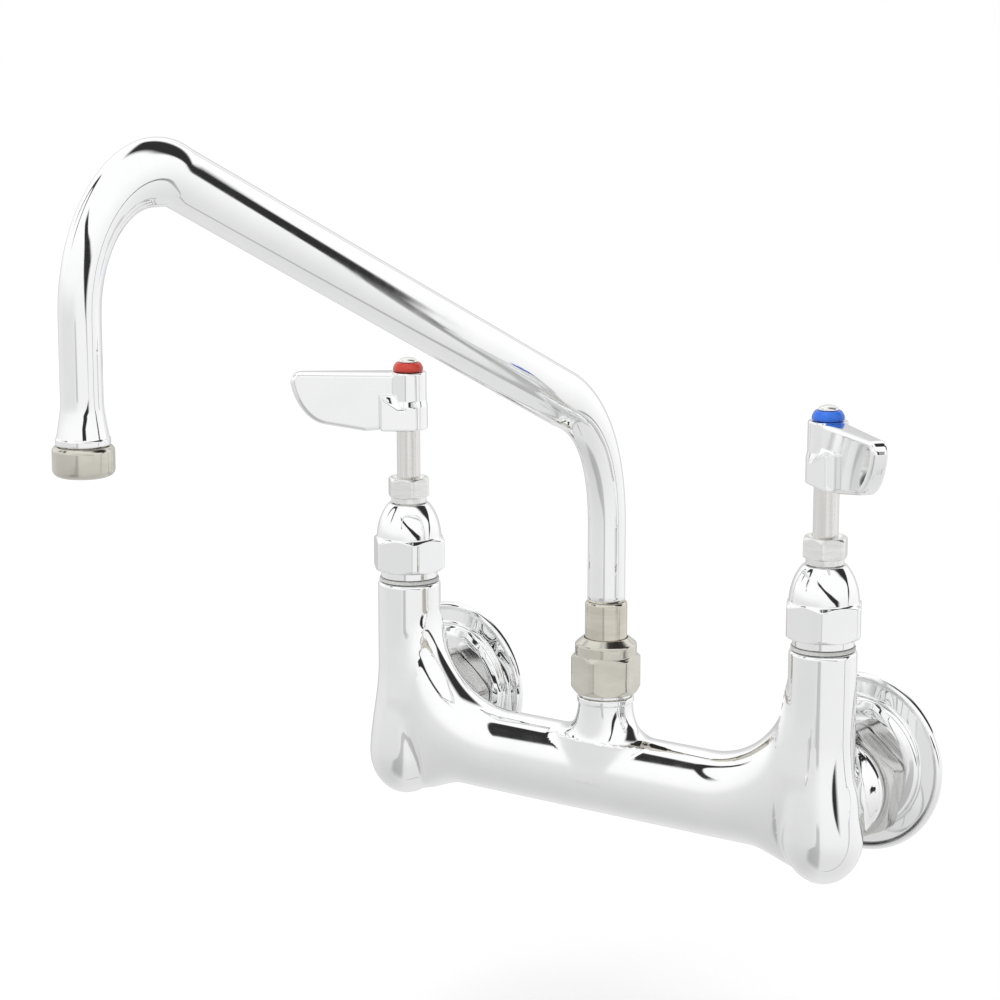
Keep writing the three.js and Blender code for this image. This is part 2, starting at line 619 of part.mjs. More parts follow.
/** Lever: blade, round hub in two widths and two cheeks, pierced for stem and screw. */
function lever() {
  const hubTop = leverBottom + LOWER_HUB_HEIGHT;
  const hub = turned([
    [0, leverBottom], [LOWER_HUB_RADIUS - CHEEK_EDGE, leverBottom], [LOWER_HUB_RADIUS, leverBottom + CHEEK_EDGE],
    [LOWER_HUB_RADIUS, hubTop], [HUB_CYLINDER_RADIUS, hubTop + 1], [HUB_CYLINDER_RADIUS, leverTop - 0.6],
    [HUB_CYLINDER_RADIUS - 0.6, leverTop], [0, leverTop],
  ], FINE);
  return cut(
    join(blade(), cheek(SHORT_CHEEK), cheek(LONG_CHEEK).mirror([0, 1, 0]), hub),
    rod(SPLINE_RADIUS + GAP, leverBottom - 1, stemTop + GAP),
    rod(HANDLE_SCREW_RADIUS + GAP, stemTop - 1, leverTop + 1, COARSE),
  );
}

const indexBottom = leverTop + GAP;
const indexTop = indexBottom + INDEX_HEIGHT;

/** Coloured index ring with rounded shoulders. */
function indexRing() {
  const hole = HANDLE_SCREW_RADIUS + GAP;
  return turned([
    [hole, indexBottom], [INDEX_RADIUS - 0.2, indexBottom], [INDEX_RADIUS, indexBottom + 0.8],
    [INDEX_RADIUS - 0.5, indexBottom + 2.2], [INDEX_TOP_RADIUS, indexTop], [hole, indexTop],
    [hole, indexBottom],
  ]);
}

/** Domed screw through index ring and lever into the stem. */
function handleScrew() {
  const seatLevel = indexTop + GAP;
  const profile = [
    [0, seatLevel - HANDLE_SCREW_LENGTH + INDEX_HEIGHT],
    [HANDLE_SCREW_RADIUS, seatLevel - HANDLE_SCREW_LENGTH + INDEX_HEIGHT],
    [HANDLE_SCREW_RADIUS, seatLevel], [HANDLE_SCREW_HEAD, seatLevel],
  ];
  for (let i = 1; i <= 4; i += 1) {
    const t = (i / 4) * (Math.PI / 2);
    profile.push([HANDLE_SCREW_HEAD * Math.cos(t), seatLevel + HANDLE_SCREW_DOME * Math.sin(t)]);
  }
  profile[profile.length - 1][0] = 0;
  return turned(profile, COARSE);
}

// ---- Union and wall flange, on the hub's axis -----------------------------------------------
/** Tailpiece: threaded tube with the lip that the coupling nut pulls on. */
function unionTail() {
  return turned([
    [TAIL_BORE, tailFront], [TAIL_RADIUS, tailFront], [TAIL_RADIUS, lipFront], [TAIL_LIP_RADIUS, lipFront],
    [TAIL_LIP_RADIUS, lipBack], [TAIL_BORE, lipBack], [TAIL_BORE, tailFront],
  ]);
}

/** Coupling nut: chamfered hexagon with an inner shoulder in front and a thread behind. */
function couplingNut() {
  const back = nutFront + UNION_NUT_LENGTH;
  return cut(
    nutBlank(UNION_NUT_FLATS, nutFront, back, 2.2, 1.2),
    rod(TAIL_RADIUS + GAP, nutFront - 1, back + 1),
    rod(UNION_THREAD_RADIUS + GAP, nutFront + UNION_NUT_SHOULDER, back + 1),
  );
}

/** Wall flange: thin plate with a rolled rim, a hollow, a raised hub and the union's spigot. */
function wallFlange() {
  const wall = AXIS_TO_WALL;
  const rimTop = wall - FLANGE_RIM;
  const hubFront = nutFront + UNION_NUT_LENGTH + GAP;
  const plate = turned([
    [0, hubFront], [FLANGE_HUB_RADIUS - 4.5, hubFront], [FLANGE_HUB_RADIUS - 1, hubFront + 1.4],
    [FLANGE_HUB_RADIUS, wall - FLANGE_PLATE - 0.5], [FLANGE_RADIUS - FLANGE_RIM_WIDTH, wall - FLANGE_PLATE],
    [FLANGE_RADIUS - FLANGE_RIM_WIDTH + 0.7, rimTop + 0.4], [FLANGE_RADIUS - 1.4, rimTop],
    [FLANGE_RADIUS - 0.3, rimTop + 0.9], [FLANGE_RADIUS, wall - 0.8], [FLANGE_RADIUS - 0.6, wall], [0, wall],
  ], FINE);
  const spigot = rod(UNION_THREAD_RADIUS, spigotFront, wall - 1).translate([0, eccentricity, 0]);
  const waterway = rod(TAIL_BORE, spigotFront - 1, wall - 4).translate([0, eccentricity, 0]);
  return cut(join(plate, spigot), waterway, rod(PIPE_BORE, wall - 6, wall + 1));
}

const unionWasher = ring(
  TAIL_BORE + GAP, TAIL_LIP_RADIUS, unionWasherFront, unionWasherFront + UNION_WASHER_THICKNESS,
);

// ---- Spout ----------------------------------------------------------------------------------
const outletLipBottom = OUTLET_BOTTOM + OUTLET_RING_HEIGHT + GAP;
const outletLipTop = outletLipBottom + OUTLET_LIP;
const tubeBottom = sleeveTop - SPOUT_SOCKET;

/** The spout's centre line in its own upright plane: x outwards, y up. */
function spoutPath() {
  const pitch = radians(ARM_PITCH);
  const armDirection = new THREE.Vector2(Math.cos(pitch), Math.sin(pitch));
  const corner = new THREE.Vector2(0, ARM_CORNER_HEIGHT);
  const bendStart = new THREE.Vector2(0, ARM_CORNER_HEIGHT - LOWER_BEND_DROP);
  const bendEnd = corner.clone().addScaledVector(armDirection, LOWER_BEND_RUN);
  const turnover = corner.clone().addScaledVector(armDirection, (SPOUT_REACH - DROP_BEND_RUN) / armDirection.x);
  const dropTop = new THREE.Vector2(SPOUT_REACH, DROP_BEND_START);
  const easeIn = turnover.clone().addScaledVector(armDirection, DROP_BEND_RUN * 0.5);
  const easeOut = new THREE.Vector2(SPOUT_REACH, DROP_BEND_START + DROP_BEND_RUN * 0.85);
  const path = new THREE.CurvePath();
  path.add(new THREE.LineCurve(new THREE.Vector2(0, sleeveTop + GAP), bendStart));
  path.add(new THREE.QuadraticBezierCurve(bendStart, corner, bendEnd));
  path.add(new THREE.LineCurve(bendEnd, turnover));
  path.add(new THREE.CubicBezierCurve(turnover, easeIn, easeOut, dropTop));
  path.add(new THREE.LineCurve(dropTop, new THREE.Vector2(SPOUT_REACH, outletLipTop + OUTLET_FLARE)));
  return path;
}

/** Rings across the spout. The tube is round where it stands upright and taller where it lies. */
function spoutRings(inset, count) {
  const rings = [];
  const steps = [1, 5, 3, 11, 2];
  spoutPath().curves.forEach((curve, piece) => {
    const first = piece === 0 ? 0 : 1;
    for (let i = first; i <= steps[piece]; i += 1) {
      const t = i / steps[piece];
      const centre = curve.getPoint(t);
      const along = curve.getTangent(t);
      const share = THREE.MathUtils.clamp(centre.x / SPOUT_REACH, 0, 1);
      const width = THREE.MathUtils.lerp(SPOUT_RADIUS, SPOUT_DROP_RADIUS, share) - inset;
      const height = (width + inset) * (1 + SPOUT_OVAL * along.x * along.x) - inset;
      rings.push(crossRing(centre, along, width, height, count));
    }
  });
  return rings;
}

/** One ring square to the centre line: width across the plane, height within it. */
function crossRing(centre, along, width, height, count) {
  const points = [];
  for (let i = 0; i < count; i += 1) {
    const angle = (2 * Math.PI * i) / count;
    const up = height * Math.cos(angle);
    points.push(new THREE.Vector3(
      centre.x - along.y * up,
      -width * Math.sin(angle),
      centre.y + along.x * up,
    ));
  }
  return points;
}

/** Spout tube: socket end, swept tube, flared outlet with a lip and a thread below it. */
function spoutTube() {
  const outside = skin(spoutRings(0, MEDIUM));
  const inside = skin(spoutRings(SPOUT_WALL, COARSE));
  const bore = SPOUT_RADIUS - SPOUT_WALL;
  const dropBore = SPOUT_DROP_RADIUS - SPOUT_WALL;
  const socket = rod(SPOUT_SOCKET_RADIUS, tubeBottom, sleeveTop + GAP + 1);
  const flareTop = outletLipTop + OUTLET_FLARE;
  const threadBottom = outletLipBottom - OUTLET_THREAD;
  const outlet = turned([
    [0, threadBottom], [OUTLET_THREAD_RADIUS, threadBottom], [OUTLET_THREAD_RADIUS, outletLipBottom],
    [OUTLET_LIP_RADIUS - 0.3, outletLipBottom], [OUTLET_LIP_RADIUS, outletLipBottom + 0.5],
    [OUTLET_LIP_RADIUS, outletLipTop - 0.4], [OUTLET_LIP_RADIUS - 0.4, outletLipTop],
    [OUTLET_LIP_RADIUS - 0.8, outletLipTop + 2.2], [SPOUT_DROP_RADIUS + 0.7, outletLipTop + 6],
    [SPOUT_DROP_RADIUS + 0.15, flareTop - 3], [SPOUT_DROP_RADIUS, flareTop], [0, flareTop],
  ]).translate([SPOUT_REACH, 0, 0]);
  const socketBore = rod(bore - 1.1, tubeBottom - 1, sleeveTop + GAP + 1, COARSE);
  const outletBore = rod(dropBore, threadBottom - 1, flareTop + 1, COARSE).translate([SPOUT_REACH, 0, 0]);
  return cut(join(outside, socket, outlet), inside, socketBore, outletBore);
}

/** Sleeve brazed on the tube: shows above the swivel nut, its tail turns in the boss. */
function spoutSleeve() {
  const grooves = [0, 1].map((i) => {
    const middle = sleeveBottom + O_RING_FIRST + i * O_RING_PITCH;
    return ring(O_RING_CENTRE - O_RING_SECTION - GAP, SLEEVE_TAIL_RADIUS + 1,
      middle - O_RING_SECTION - GAP, middle + O_RING_SECTION + GAP);
  });
  const body = turned([
    [0, sleeveBottom], [SLEEVE_TAIL_RADIUS, sleeveBottom], [SLEEVE_TAIL_RADIUS, sleeveFlangeBottom],
    [SLEEVE_FLANGE_RADIUS, sleeveFlangeBottom], [SLEEVE_FLANGE_RADIUS, slipWasherBottom - GAP],
    [SLEEVE_RADIUS, slipWasherBottom - GAP], [SLEEVE_RADIUS, sleeveTop - 0.8],
    [SLEEVE_RADIUS - 0.6, sleeveTop], [0, sleeveTop],
  ]);
  return cut(
    body, ...grooves,
    rod(SLEEVE_BORE, sleeveBottom - 1, tubeBottom),
    rod(SPOUT_SOCKET_RADIUS + GAP, tubeBottom - GAP, sleeveTop + 1),
  );
}

/** Rubber ring in the sleeve's groove. */
function oRing(index) {
  const middle = sleeveBottom + O_RING_FIRST + index * O_RING_PITCH;
  return solid(new THREE.TorusGeometry(O_RING_CENTRE, O_RING_SECTION, 8, MEDIUM).translate(0, 0, middle));
}

/** Swivel nut: hexagon, then a round collar with a sloping top. */
function swivelNut() {
  const collar = turned([
    [0, swivelHexTop - 1], [SWIVEL_COLLAR_RADIUS, swivelHexTop - 1],
    [SWIVEL_COLLAR_RADIUS, collarTop - SWIVEL_COLLAR_CHAMFER], [SLEEVE_RADIUS + 0.9, collarTop],
    [0, collarTop],
  ]);
  return cut(
    join(nutBlank(SWIVEL_NUT_FLATS, swivelHexBottom, swivelHexTop, 3, 1.6), collar),
    rod(SWIVEL_NECK_RADIUS + GAP, swivelHexBottom - 1, swivelShoulder),
    rod(SLEEVE_RADIUS + GAP, swivelShoulder - 1, collarTop + 1),
  );
}

const slipWasher = ring(
  SLEEVE_RADIUS + GAP, SLEEVE_FLANGE_RADIUS, slipWasherBottom, slipWasherBottom + SLIP_WASHER_THICKNESS,
);

const straightenerBottom = OUTLET_BOTTOM + 2.6 + GAP;
const outletWasherBottom = straightenerBottom + STRAIGHTENER_THICKNESS + GAP;

/** Outlet ring: screwed on the spout's end, with a rounded lower edge. */
function outletRing() {
  const top = OUTLET_BOTTOM + OUTLET_RING_HEIGHT;
  const round = [];
  for (let i = 0; i <= 4; i += 1) {
    const t = (i / 4) * (Math.PI / 2);
    round.push([
      OUTLET_RING_RADIUS - OUTLET_RING_ROUND * (1 - Math.sin(t)),
      OUTLET_BOTTOM + OUTLET_RING_ROUND * (1 - Math.cos(t)),
    ]);
  }
  const body = turned([
    [0, OUTLET_BOTTOM], ...round, [OUTLET_RING_RADIUS, top - 1.2], [OUTLET_RING_RADIUS - 1, top], [0, top],
  ], FINE);
  return cut(
    body,
    rod(OUTLET_MOUTH, OUTLET_BOTTOM - 1, top),
    rod(OUTLET_THREAD_RADIUS + GAP, straightenerBottom - GAP, top + 1),
  );
}

/** Perforated disc that calms the stream. */
function straightener() {
  const disc = rod(OUTLET_THREAD_RADIUS, straightenerBottom, straightenerBottom + STRAIGHTENER_THICKNESS);
  const holes = [];
  for (let i = 0; i < 6; i += 1) {
    const angle = radians(60 * i);
    const place = [4.4 * Math.cos(angle), 4.4 * Math.sin(angle), 0];
    holes.push(rod(STRAIGHTENER_HOLE, straightenerBottom - 1, outletWasherBottom, 8).translate(place));
  }
  return cut(disc, ...holes, rod(STRAIGHTENER_HOLE, straightenerBottom - 1, outletWasherBottom, 8));
}

const outletWasher = ring(
  SPOUT_DROP_RADIUS - SPOUT_WALL, OUTLET_THREAD_RADIUS,
  outletWasherBottom, outletWasherBottom + OUTLET_WASHER_THICKNESS,
);

// ---- Assembly -------------------------------------------------------------------------------
const body = new THREE.Group();
body.position.set(0, -AXIS_TO_WALL, DATUM_RISE);
root.add(body);
addMesh(body, 'body_casting', casting, CHROME);

const VALVES = [
  { name: 'hot', side: -1, lever: HOT_LEVER_ANGLE, index: RED_PLASTIC, bonnetTurn: -44.1, packingTurn: -42.6 },
  { name: 'cold', side: 1, lever: COLD_LEVER_ANGLE, index: BLUE_PLASTIC, bonnetTurn: -62, packingTurn: -68.6 },
];

for (const valve of VALVES) {
  const axis = new THREE.Group();
  axis.position.x = valve.side * half;
  body.add(axis);
  const gasket = ring(CHAMBER_BORE + GAP, GASKET_RADIUS, gasketBottom, gasketBottom + GASKET_THICKNESS);
  const packing = ring(STEM_RADIUS + GAP, GLAND_RADIUS, packingBottom, packingBottom + PACKING_THICKNESS);
  const glandTop = glandWasherBottom + GLAND_WASHER_THICKNESS;
  const gland = ring(STEM_RADIUS + GAP, GLAND_RADIUS, glandWasherBottom, glandTop);
  const washerTop = seatWasherBottom + SEAT_WASHER_THICKNESS;
  const washer = ring(WASHER_SCREW_RADIUS + GAP, SEAT_WASHER_RADIUS, seatWasherBottom, washerTop, COARSE);
  addMesh(axis, `${valve.name}_bonnet`, bonnet().rotate([0, 0, valve.bonnetTurn]), CHROME);
  addMesh(axis, `${valve.name}_bonnet_gasket`, gasket, FIBRE);
  addMesh(axis, `${valve.name}_packing_nut`, packingNut().rotate([0, 0, valve.packingTurn]), SATIN_CHROME);
  addMesh(axis, `${valve.name}_gland_washer`, gland, BRASS);
  addMesh(axis, `${valve.name}_stem_packing`, packing, WHITE_PLASTIC);
  addMesh(axis, `${valve.name}_stem`, stem(), SATIN_CHROME);
  addMesh(axis, `${valve.name}_seat`, seat(), BRASS);
  addMesh(axis, `${valve.name}_seat_washer`, washer, RUBBER);
  addMesh(axis, `${valve.name}_washer_screw`, washerScrew(), BRASS);
  addMesh(axis, `${valve.name}_lever`, lever().rotate([0, 0, valve.lever]), CHROME);
  addMesh(axis, `${valve.name}_index_ring`, indexRing(), valve.index);
  addMesh(axis, `${valve.name}_handle_screw`, handleScrew(), SATIN_CHROME);

  const union = new THREE.Group();
  union.position.z = -HUB_DROP;
  union.rotation.x = -Math.PI / 2;
  axis.add(union);
  addMesh(union, `${valve.name}_union_tail`, unionTail(), BRASS);
  addMesh(union, `${valve.name}_coupling_nut`, couplingNut().rotate([0, 0, UNION_NUT_TURN]), SATIN_CHROME);
  addMesh(union, `${valve.name}_union_washer`, unionWasher, RUBBER);

  const pipe = new THREE.Group();
  pipe.position.z = -DATUM_RISE;
  pipe.rotation.x = -Math.PI / 2;
  axis.add(pipe);
  addMesh(pipe, `${valve.name}_wall_flange`, wallFlange(), CHROME);
}

const swivel = new THREE.Group();
body.add(swivel);
addMesh(swivel, 'swivel_nut', swivelNut().rotate([0, 0, -20.6]), SATIN_NICKEL);
addMesh(swivel, 'slip_washer', slipWasher, WHITE_PLASTIC);
addMesh(swivel, 'spout_sleeve', spoutSleeve(), SATIN_NICKEL);
addMesh(swivel, 'o_ring_lower', oRing(0), RUBBER);
addMesh(swivel, 'o_ring_upper', oRing(1), RUBBER);

const spout = new THREE.Group();
spout.rotation.z = radians(270 - SPOUT_TURN);
body.add(spout);
addMesh(spout, 'spout_tube', spoutTube(), CHROME);

const outlet = new THREE.Group();
outlet.position.x = SPOUT_REACH;
spout.add(outlet);
addMesh(outlet, 'outlet_ring', outletRing(), SATIN_NICKEL);
addMesh(outlet, 'flow_straightener', straightener(), WHITE_PLASTIC);
addMesh(outlet, 'outlet_washer', outletWasher, RUBBER);

export default root;
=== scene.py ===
import math

import bmesh
import bpy
import numpy as np
from mathutils import Matrix, Vector


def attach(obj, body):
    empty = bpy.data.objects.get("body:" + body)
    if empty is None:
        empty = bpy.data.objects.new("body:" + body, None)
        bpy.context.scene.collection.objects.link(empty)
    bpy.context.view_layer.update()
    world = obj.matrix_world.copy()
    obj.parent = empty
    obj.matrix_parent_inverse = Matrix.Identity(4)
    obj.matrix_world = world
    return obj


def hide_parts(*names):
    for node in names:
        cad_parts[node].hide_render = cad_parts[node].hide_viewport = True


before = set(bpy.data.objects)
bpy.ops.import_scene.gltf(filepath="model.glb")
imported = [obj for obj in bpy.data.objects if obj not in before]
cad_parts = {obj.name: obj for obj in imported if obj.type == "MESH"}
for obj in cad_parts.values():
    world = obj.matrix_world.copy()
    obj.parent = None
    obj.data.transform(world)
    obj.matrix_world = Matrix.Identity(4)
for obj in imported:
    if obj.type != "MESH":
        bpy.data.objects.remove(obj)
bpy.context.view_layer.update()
scene = bpy.context.scene

# ---- Camera ---------------------------------------------------------------------------------
# The tap is seen from its right and a little from above, through a long lens, so that the
# spout's end stands nearer than the levers.
sight = Vector((0.5759, -0.7927, 0.1999)).normalized()
across = Vector((-sight.y, sight.x, 0)).normalized()
upward = sight.cross(across)
camera_data = bpy.data.cameras.new("camera")
camera_data.lens = 106.23
camera_data.sensor_width = 36
camera_data.clip_start = 0.05
camera = bpy.data.objects.new("camera", camera_data)
facing = Matrix((across, upward, sight)).transposed().to_4x4()
camera.matrix_world = Matrix.Translation((0.653766, -1.007168, 0.338802)) @ facing
scene.collection.objects.link(camera)
scene.camera = camera
scene.view_settings.view_transform = "Standard"

# ---- Floor, light and surroundings ----------------------------------------------------------
# A white table top, one broad soft lamp above and a pale studio all round, a little darker below.
# Polished metal also sees the black frame of an oval soft box on the left, a black edge on the
# right that leans back as it rises, a pole in front and one behind, and a slanting black boom.
FLOOR_LEVEL = -0.16
FLOOR_HALF = 6


def set_range(node, low, high, first, last):
    """Makes a Map Range node carry low to high onto first to last."""
    for name, number in (("From Min", low), ("From Max", high), ("To Min", first), ("To Max", last)):
        node.inputs[name].default_value = number


floor_mesh = bpy.data.meshes.new("floor")
square = ((-1, -1), (1, -1), (1, 1), (-1, 1))
floor_corners = [(a * FLOOR_HALF, b * FLOOR_HALF, FLOOR_LEVEL) for a, b in square]
floor_mesh.from_pydata(floor_corners, [], [(0, 1, 2, 3)])
floor = bpy.data.objects.new("floor", floor_mesh)
scene.collection.objects.link(floor)
floor.visible_glossy = False
table_top = bpy.data.materials.new("white_table_top")
table_top.use_nodes = True
nodes, links = table_top.node_tree.nodes, table_top.node_tree.links
nodes.clear()
table_out = nodes.new("ShaderNodeOutputMaterial")
table_mix = nodes.new("ShaderNodeAddShader")
table_paint = nodes.new("ShaderNodeBsdfDiffuse")
table_paint.inputs["Color"].default_value = (0.8, 0.8, 0.8, 1)
table_glow = nodes.new("ShaderNodeEmission")
table_path = nodes.new("ShaderNodeLightPath")
table_share = nodes.new("ShaderNodeMath")
table_share.operation = "MULTIPLY"
# The glow is for the camera alone. It rises outwards as the lamp's own light falls off.
table_place = nodes.new("ShaderNodeTexCoord")
table_reach = nodes.new("ShaderNodeVectorMath")
table_reach.operation = "LENGTH"
table_rise = nodes.new("ShaderNodeMapRange")
set_range(table_rise, 0.3, 1.8, 0.28, 0.482)
links.new(table_place.outputs["Object"], table_reach.inputs[0])
links.new(table_reach.outputs["Value"], table_rise.inputs["Value"])
links.new(table_rise.outputs["Result"], table_share.inputs[1])
links.new(table_path.outputs["Is Camera Ray"], table_share.inputs[0])
links.new(table_share.outputs[0], table_glow.inputs["Strength"])
links.new(table_paint.outputs[0], table_mix.inputs[0])
links.new(table_glow.outputs[0], table_mix.inputs[1])
links.new(table_mix.outputs[0], table_out.inputs["Surface"])
floor_mesh.materials.append(table_top)

lamp_data = bpy.data.lights.new("soft_lamp", "AREA")
lamp_data.shape = "DISK"
lamp_data.size = 1.2
lamp_data.energy = 12
lamp = bpy.data.objects.new("soft_lamp", lamp_data)
lamp_facing = Vector((-0.2, -0.6, 1.4)).to_track_quat("Z", "Y").to_matrix().to_4x4()
lamp.matrix_world = Matrix.Translation((-0.2, -0.7, 1.5)) @ lamp_facing
lamp.visible_glossy = False
scene.collection.objects.link(lamp)

studio = bpy.data.worlds.new("studio")
scene.world = studio
studio.use_nodes = True
nodes, links = studio.node_tree.nodes, studio.node_tree.links
nodes.clear()
studio_out = nodes.new("ShaderNodeOutputWorld")
studio_place = nodes.new("ShaderNodeTexCoord")


def along(direction):
    """How far a ray's direction runs along a given one: their dot product."""
    product = nodes.new("ShaderNodeVectorMath")
    product.operation = "DOT_PRODUCT"
    product.inputs[1].default_value = direction
    links.new(studio_place.outputs["Generated"], product.inputs[0])
    return product.outputs["Value"]


def figure(operation, first, second=0.0):
    """One step of arithmetic between two sockets or numbers."""
    step = nodes.new("ShaderNodeMath")
    step.operation = operation
    for place, value in enumerate((first, second)):
        if isinstance(value, (int, float)):
            step.inputs[place].default_value = value
        else:
            links.new(value, step.inputs[place])
    return step.outputs[0]


def eased_range(value, low, high, first=0.0, last=1.0):
    """Runs smoothly from first to last while value goes from low to high."""
    span = nodes.new("ShaderNodeMapRange")
    span.interpolation_type = "SMOOTHSTEP"
    links.new(value, span.inputs["Value"])
    set_range(span, low, high, first, last)
    return span.outputs["Result"]


def times(*values):
    """Product of several sockets or numbers."""
    product = values[0]
    for value in values[1:]:
        product = figure("MULTIPLY", product, value)
    return product


def all_but(value):
    """1 minus the value."""
    return figure("SUBTRACT", 1.0, value)


def near_line(off, width, inner, outer):
    """1 on a line and 0 away from it, easing where off is inner to outer widths on either side."""
    return eased_range(figure("DIVIDE", figure("ABSOLUTE", off), width), inner, outer, 1.0, 0.0)


# A ray's direction, told as how far it runs towards the camera, to the picture's right and up.
sight_level = Vector((sight.x, sight.y, 0)).normalized()
ahead = along(sight_level)
to_right = along(across)
to_top = along((0, 0, 1))
on_right = eased_range(to_right, -0.1, 0.1)

# Black edge on the right: it leans back as it rises, wide above and thin below. The black shapes
# take away a share BLACK of the light.
BLACK = 0.97
edge_off = figure("SUBTRACT", ahead, eased_range(to_top, -0.35, 0.6, 0.29, -0.07))
edge_foot = eased_range(to_top, -0.1, 0.15, 0.016, 0.06)
edge_head = eased_range(to_top, 0.25, 0.65, 0.0, 0.26)
edge = near_line(edge_off, figure("ADD", edge_foot, edge_head), 0.7, 1.3)
edge = times(edge, eased_range(to_top, -0.5, 0.05, 0.4, BLACK), on_right)

# Upper part of the soft box's oval frame on the left.
box_along = figure("DIVIDE", figure("ADD", ahead, 0.02), 0.24)
box_up = figure("DIVIDE", figure("SUBTRACT", to_top, 0.3), 0.43)
box_reach = figure("SQRT", figure("ADD", times(box_along, box_along), times(box_up, box_up)))
frame_off = figure("ABSOLUTE", figure("SUBTRACT", box_reach, 1.0))
box_frame = times(eased_range(frame_off, 0.1, 0.17, BLACK, 0.0), eased_range(to_top, 0.25, 0.42),
                  all_but(on_right))

# Upright grey pole behind on the right.
far_pole_off = figure("ABSOLUTE", along(sight_level * 0.588 + across * 0.809))
far_pole = times(eased_range(far_pole_off, 0.03, 0.07, 0.35, 0.0), eased_range(ahead, -0.5, -0.7),
                 eased_range(to_top, -0.3, -0.22))

# Grey pole in front on the left, wider towards its foot.
pole_off = figure("SUBTRACT", to_right, eased_range(to_top, -0.45, -0.22, -0.42, -0.28))
pole = near_line(pole_off, eased_range(to_top, -0.45, -0.22, 0.25, 0.08), 0.6, 1.2)
pole = times(pole, eased_range(to_top, -0.1, -0.16), eased_range(ahead, 0.2, 0.5, 0.0, 0.33))

# Black boom in front, from the upper left down to the right.
boom_off = figure("ADD", figure("SUBTRACT", to_top, 0.3), times(to_right, 0.55))
boom = near_line(boom_off, eased_range(to_right, -0.1, 0.35, 0.05, 0.085), 0.8, 1.2)
boom = times(boom, BLACK, eased_range(to_right, -0.55, -0.4), eased_range(to_right, 0.75, 0.6),
             eased_range(ahead, 0.2, 0.4))
dark = figure("MAXIMUM", figure("MAXIMUM", edge, box_frame), figure("MAXIMUM", far_pole, pole))
dark = figure("MAXIMUM", dark, boom)

# Level of the pale studio: darker below, more so on the left, and straight behind the tap.
lower_left = times(eased_range(to_right, 0.0, -0.6), eased_range(to_top, 0.12, -0.12))
level = times(eased_range(to_top, -0.85, 0.4, 0.81, 1.1), all_but(times(lower_left, 0.16)),
              eased_range(ahead, -0.4, 0.1, 1.04, 1.0), eased_range(ahead, -1.0, -0.72, 0.62, 1.0))
brightness = times(level, all_but(dark))
polished_view = nodes.new("ShaderNodeBackground")
polished_view.inputs["Color"].default_value = (1, 1, 1, 1)
links.new(brightness, polished_view.inputs["Strength"])
plain_light = nodes.new("ShaderNodeBackground")
plain_light.inputs["Color"].default_value = (1, 1, 1, 1)
plain_light.inputs["Strength"].default_value = 0.66
white_backdrop = nodes.new("ShaderNodeBackground")
white_backdrop.inputs["Color"].default_value = (1, 1, 1, 1)
white_backdrop.inputs["Strength"].default_value = 1.0
ray = nodes.new("ShaderNodeLightPath")
lit_or_polished = nodes.new("ShaderNodeMixShader")
links.new(ray.outputs["Is Glossy Ray"], lit_or_polished.inputs[0])
links.new(plain_light.outputs[0], lit_or_polished.inputs[1])
links.new(polished_view.outputs[0], lit_or_polished.inputs[2])
seen_or_not = nodes.new("ShaderNodeMixShader")
links.new(ray.outputs["Is Camera Ray"], seen_or_not.inputs[0])
links.new(lit_or_polished.outputs[0], seen_or_not.inputs[1])
links.new(white_backdrop.outputs[0], seen_or_not.inputs[2])
links.new(seen_or_not.outputs[0], studio_out.inputs["Surface"])

# ---- Cast body ------------------------------------------------------------------------------
# One brass casting, polished and chromed: two valve towers that swell into bulbs, an oval bar
# between them, a flared boss for the spout and a round hub behind each tower. It is bored from
# the tower tops, the boss and the hubs.

# Sizes are in mm. Levels are told from the casting's own zero, DATUM above the frame's. WALL_GAP
# is from the wall to the valves' axes, and the pipes lie HUB_DROP below zero.
MM = 0.001
WALL_GAP = 33.5
DATUM = 3.0
HALF_CENTRES = 101.6
HUB_DROP = 10
TOWER_RADIUS = 13.4
TOWER_TOP = 49.6
SWELL_TOP = 14
BULB_LEVEL = -25
BULB_SWELL = 2.8
BULB_RADIUS = 16.2
BULB_HALF_HEIGHT = 19.9
BAR_AXIS = -17.6
BAR_HALF_DEPTH = 13
BAR_BOTTOM = -35.2
ARCH_RADIUS = 39
ARCH_START = 49.7
BOSS_RADIUS = 11.2
HUB_PLACES = [0, 3, 7, 9.5, 11.5, 13, 14.5, 17]
HUB_RADII = [12.4, 13.2, 15.2, 17.2, 18.9, 19.7, 20, 20]
CHROME_COLOUR = (0.88, 0.89, 0.90, 1)


def eased_step(t):
    """0 below 0, 1 above 1, and 3t^2 - 2t^3 between them."""
    t = np.clip(t, 0, 1)
    return t * t * (3 - 2 * t)


def merged(a, b, width):
    """Lower of two distances, with a soft hollow wherever they differ by less than width."""
    t = np.clip(0.5 + 0.5 * (b - a) / width, 0, 1)
    return b + (a - b) * t - width * t * (1 - t)


def trimmed(a, b, width):
    """Higher of two distances, with the edge between them rounded over width."""
    return -merged(-a, -b, width)


def tower_distance(x, y, z, side):
    """Round column that swells below SWELL_TOP into an oval bulb leaning 2 mm outboard."""
    lean = 2.0 * eased_step((SWELL_TOP - z) / 59.6)
    reach = np.hypot(x - side * (HALF_CENTRES + lean), y)
    column = reach - TOWER_RADIUS - BULB_SWELL * eased_step((SWELL_TOP - z) / (SWELL_TOP - BULB_LEVEL))
    below = np.minimum(z - BULB_LEVEL, 0)
    bulb = BULB_RADIUS * (np.hypot(reach / BULB_RADIUS, below / BULB_HALF_HEIGHT) - 1)
    return trimmed(np.where(z < BULB_LEVEL, bulb, column), z - TOWER_TOP, 1.6)


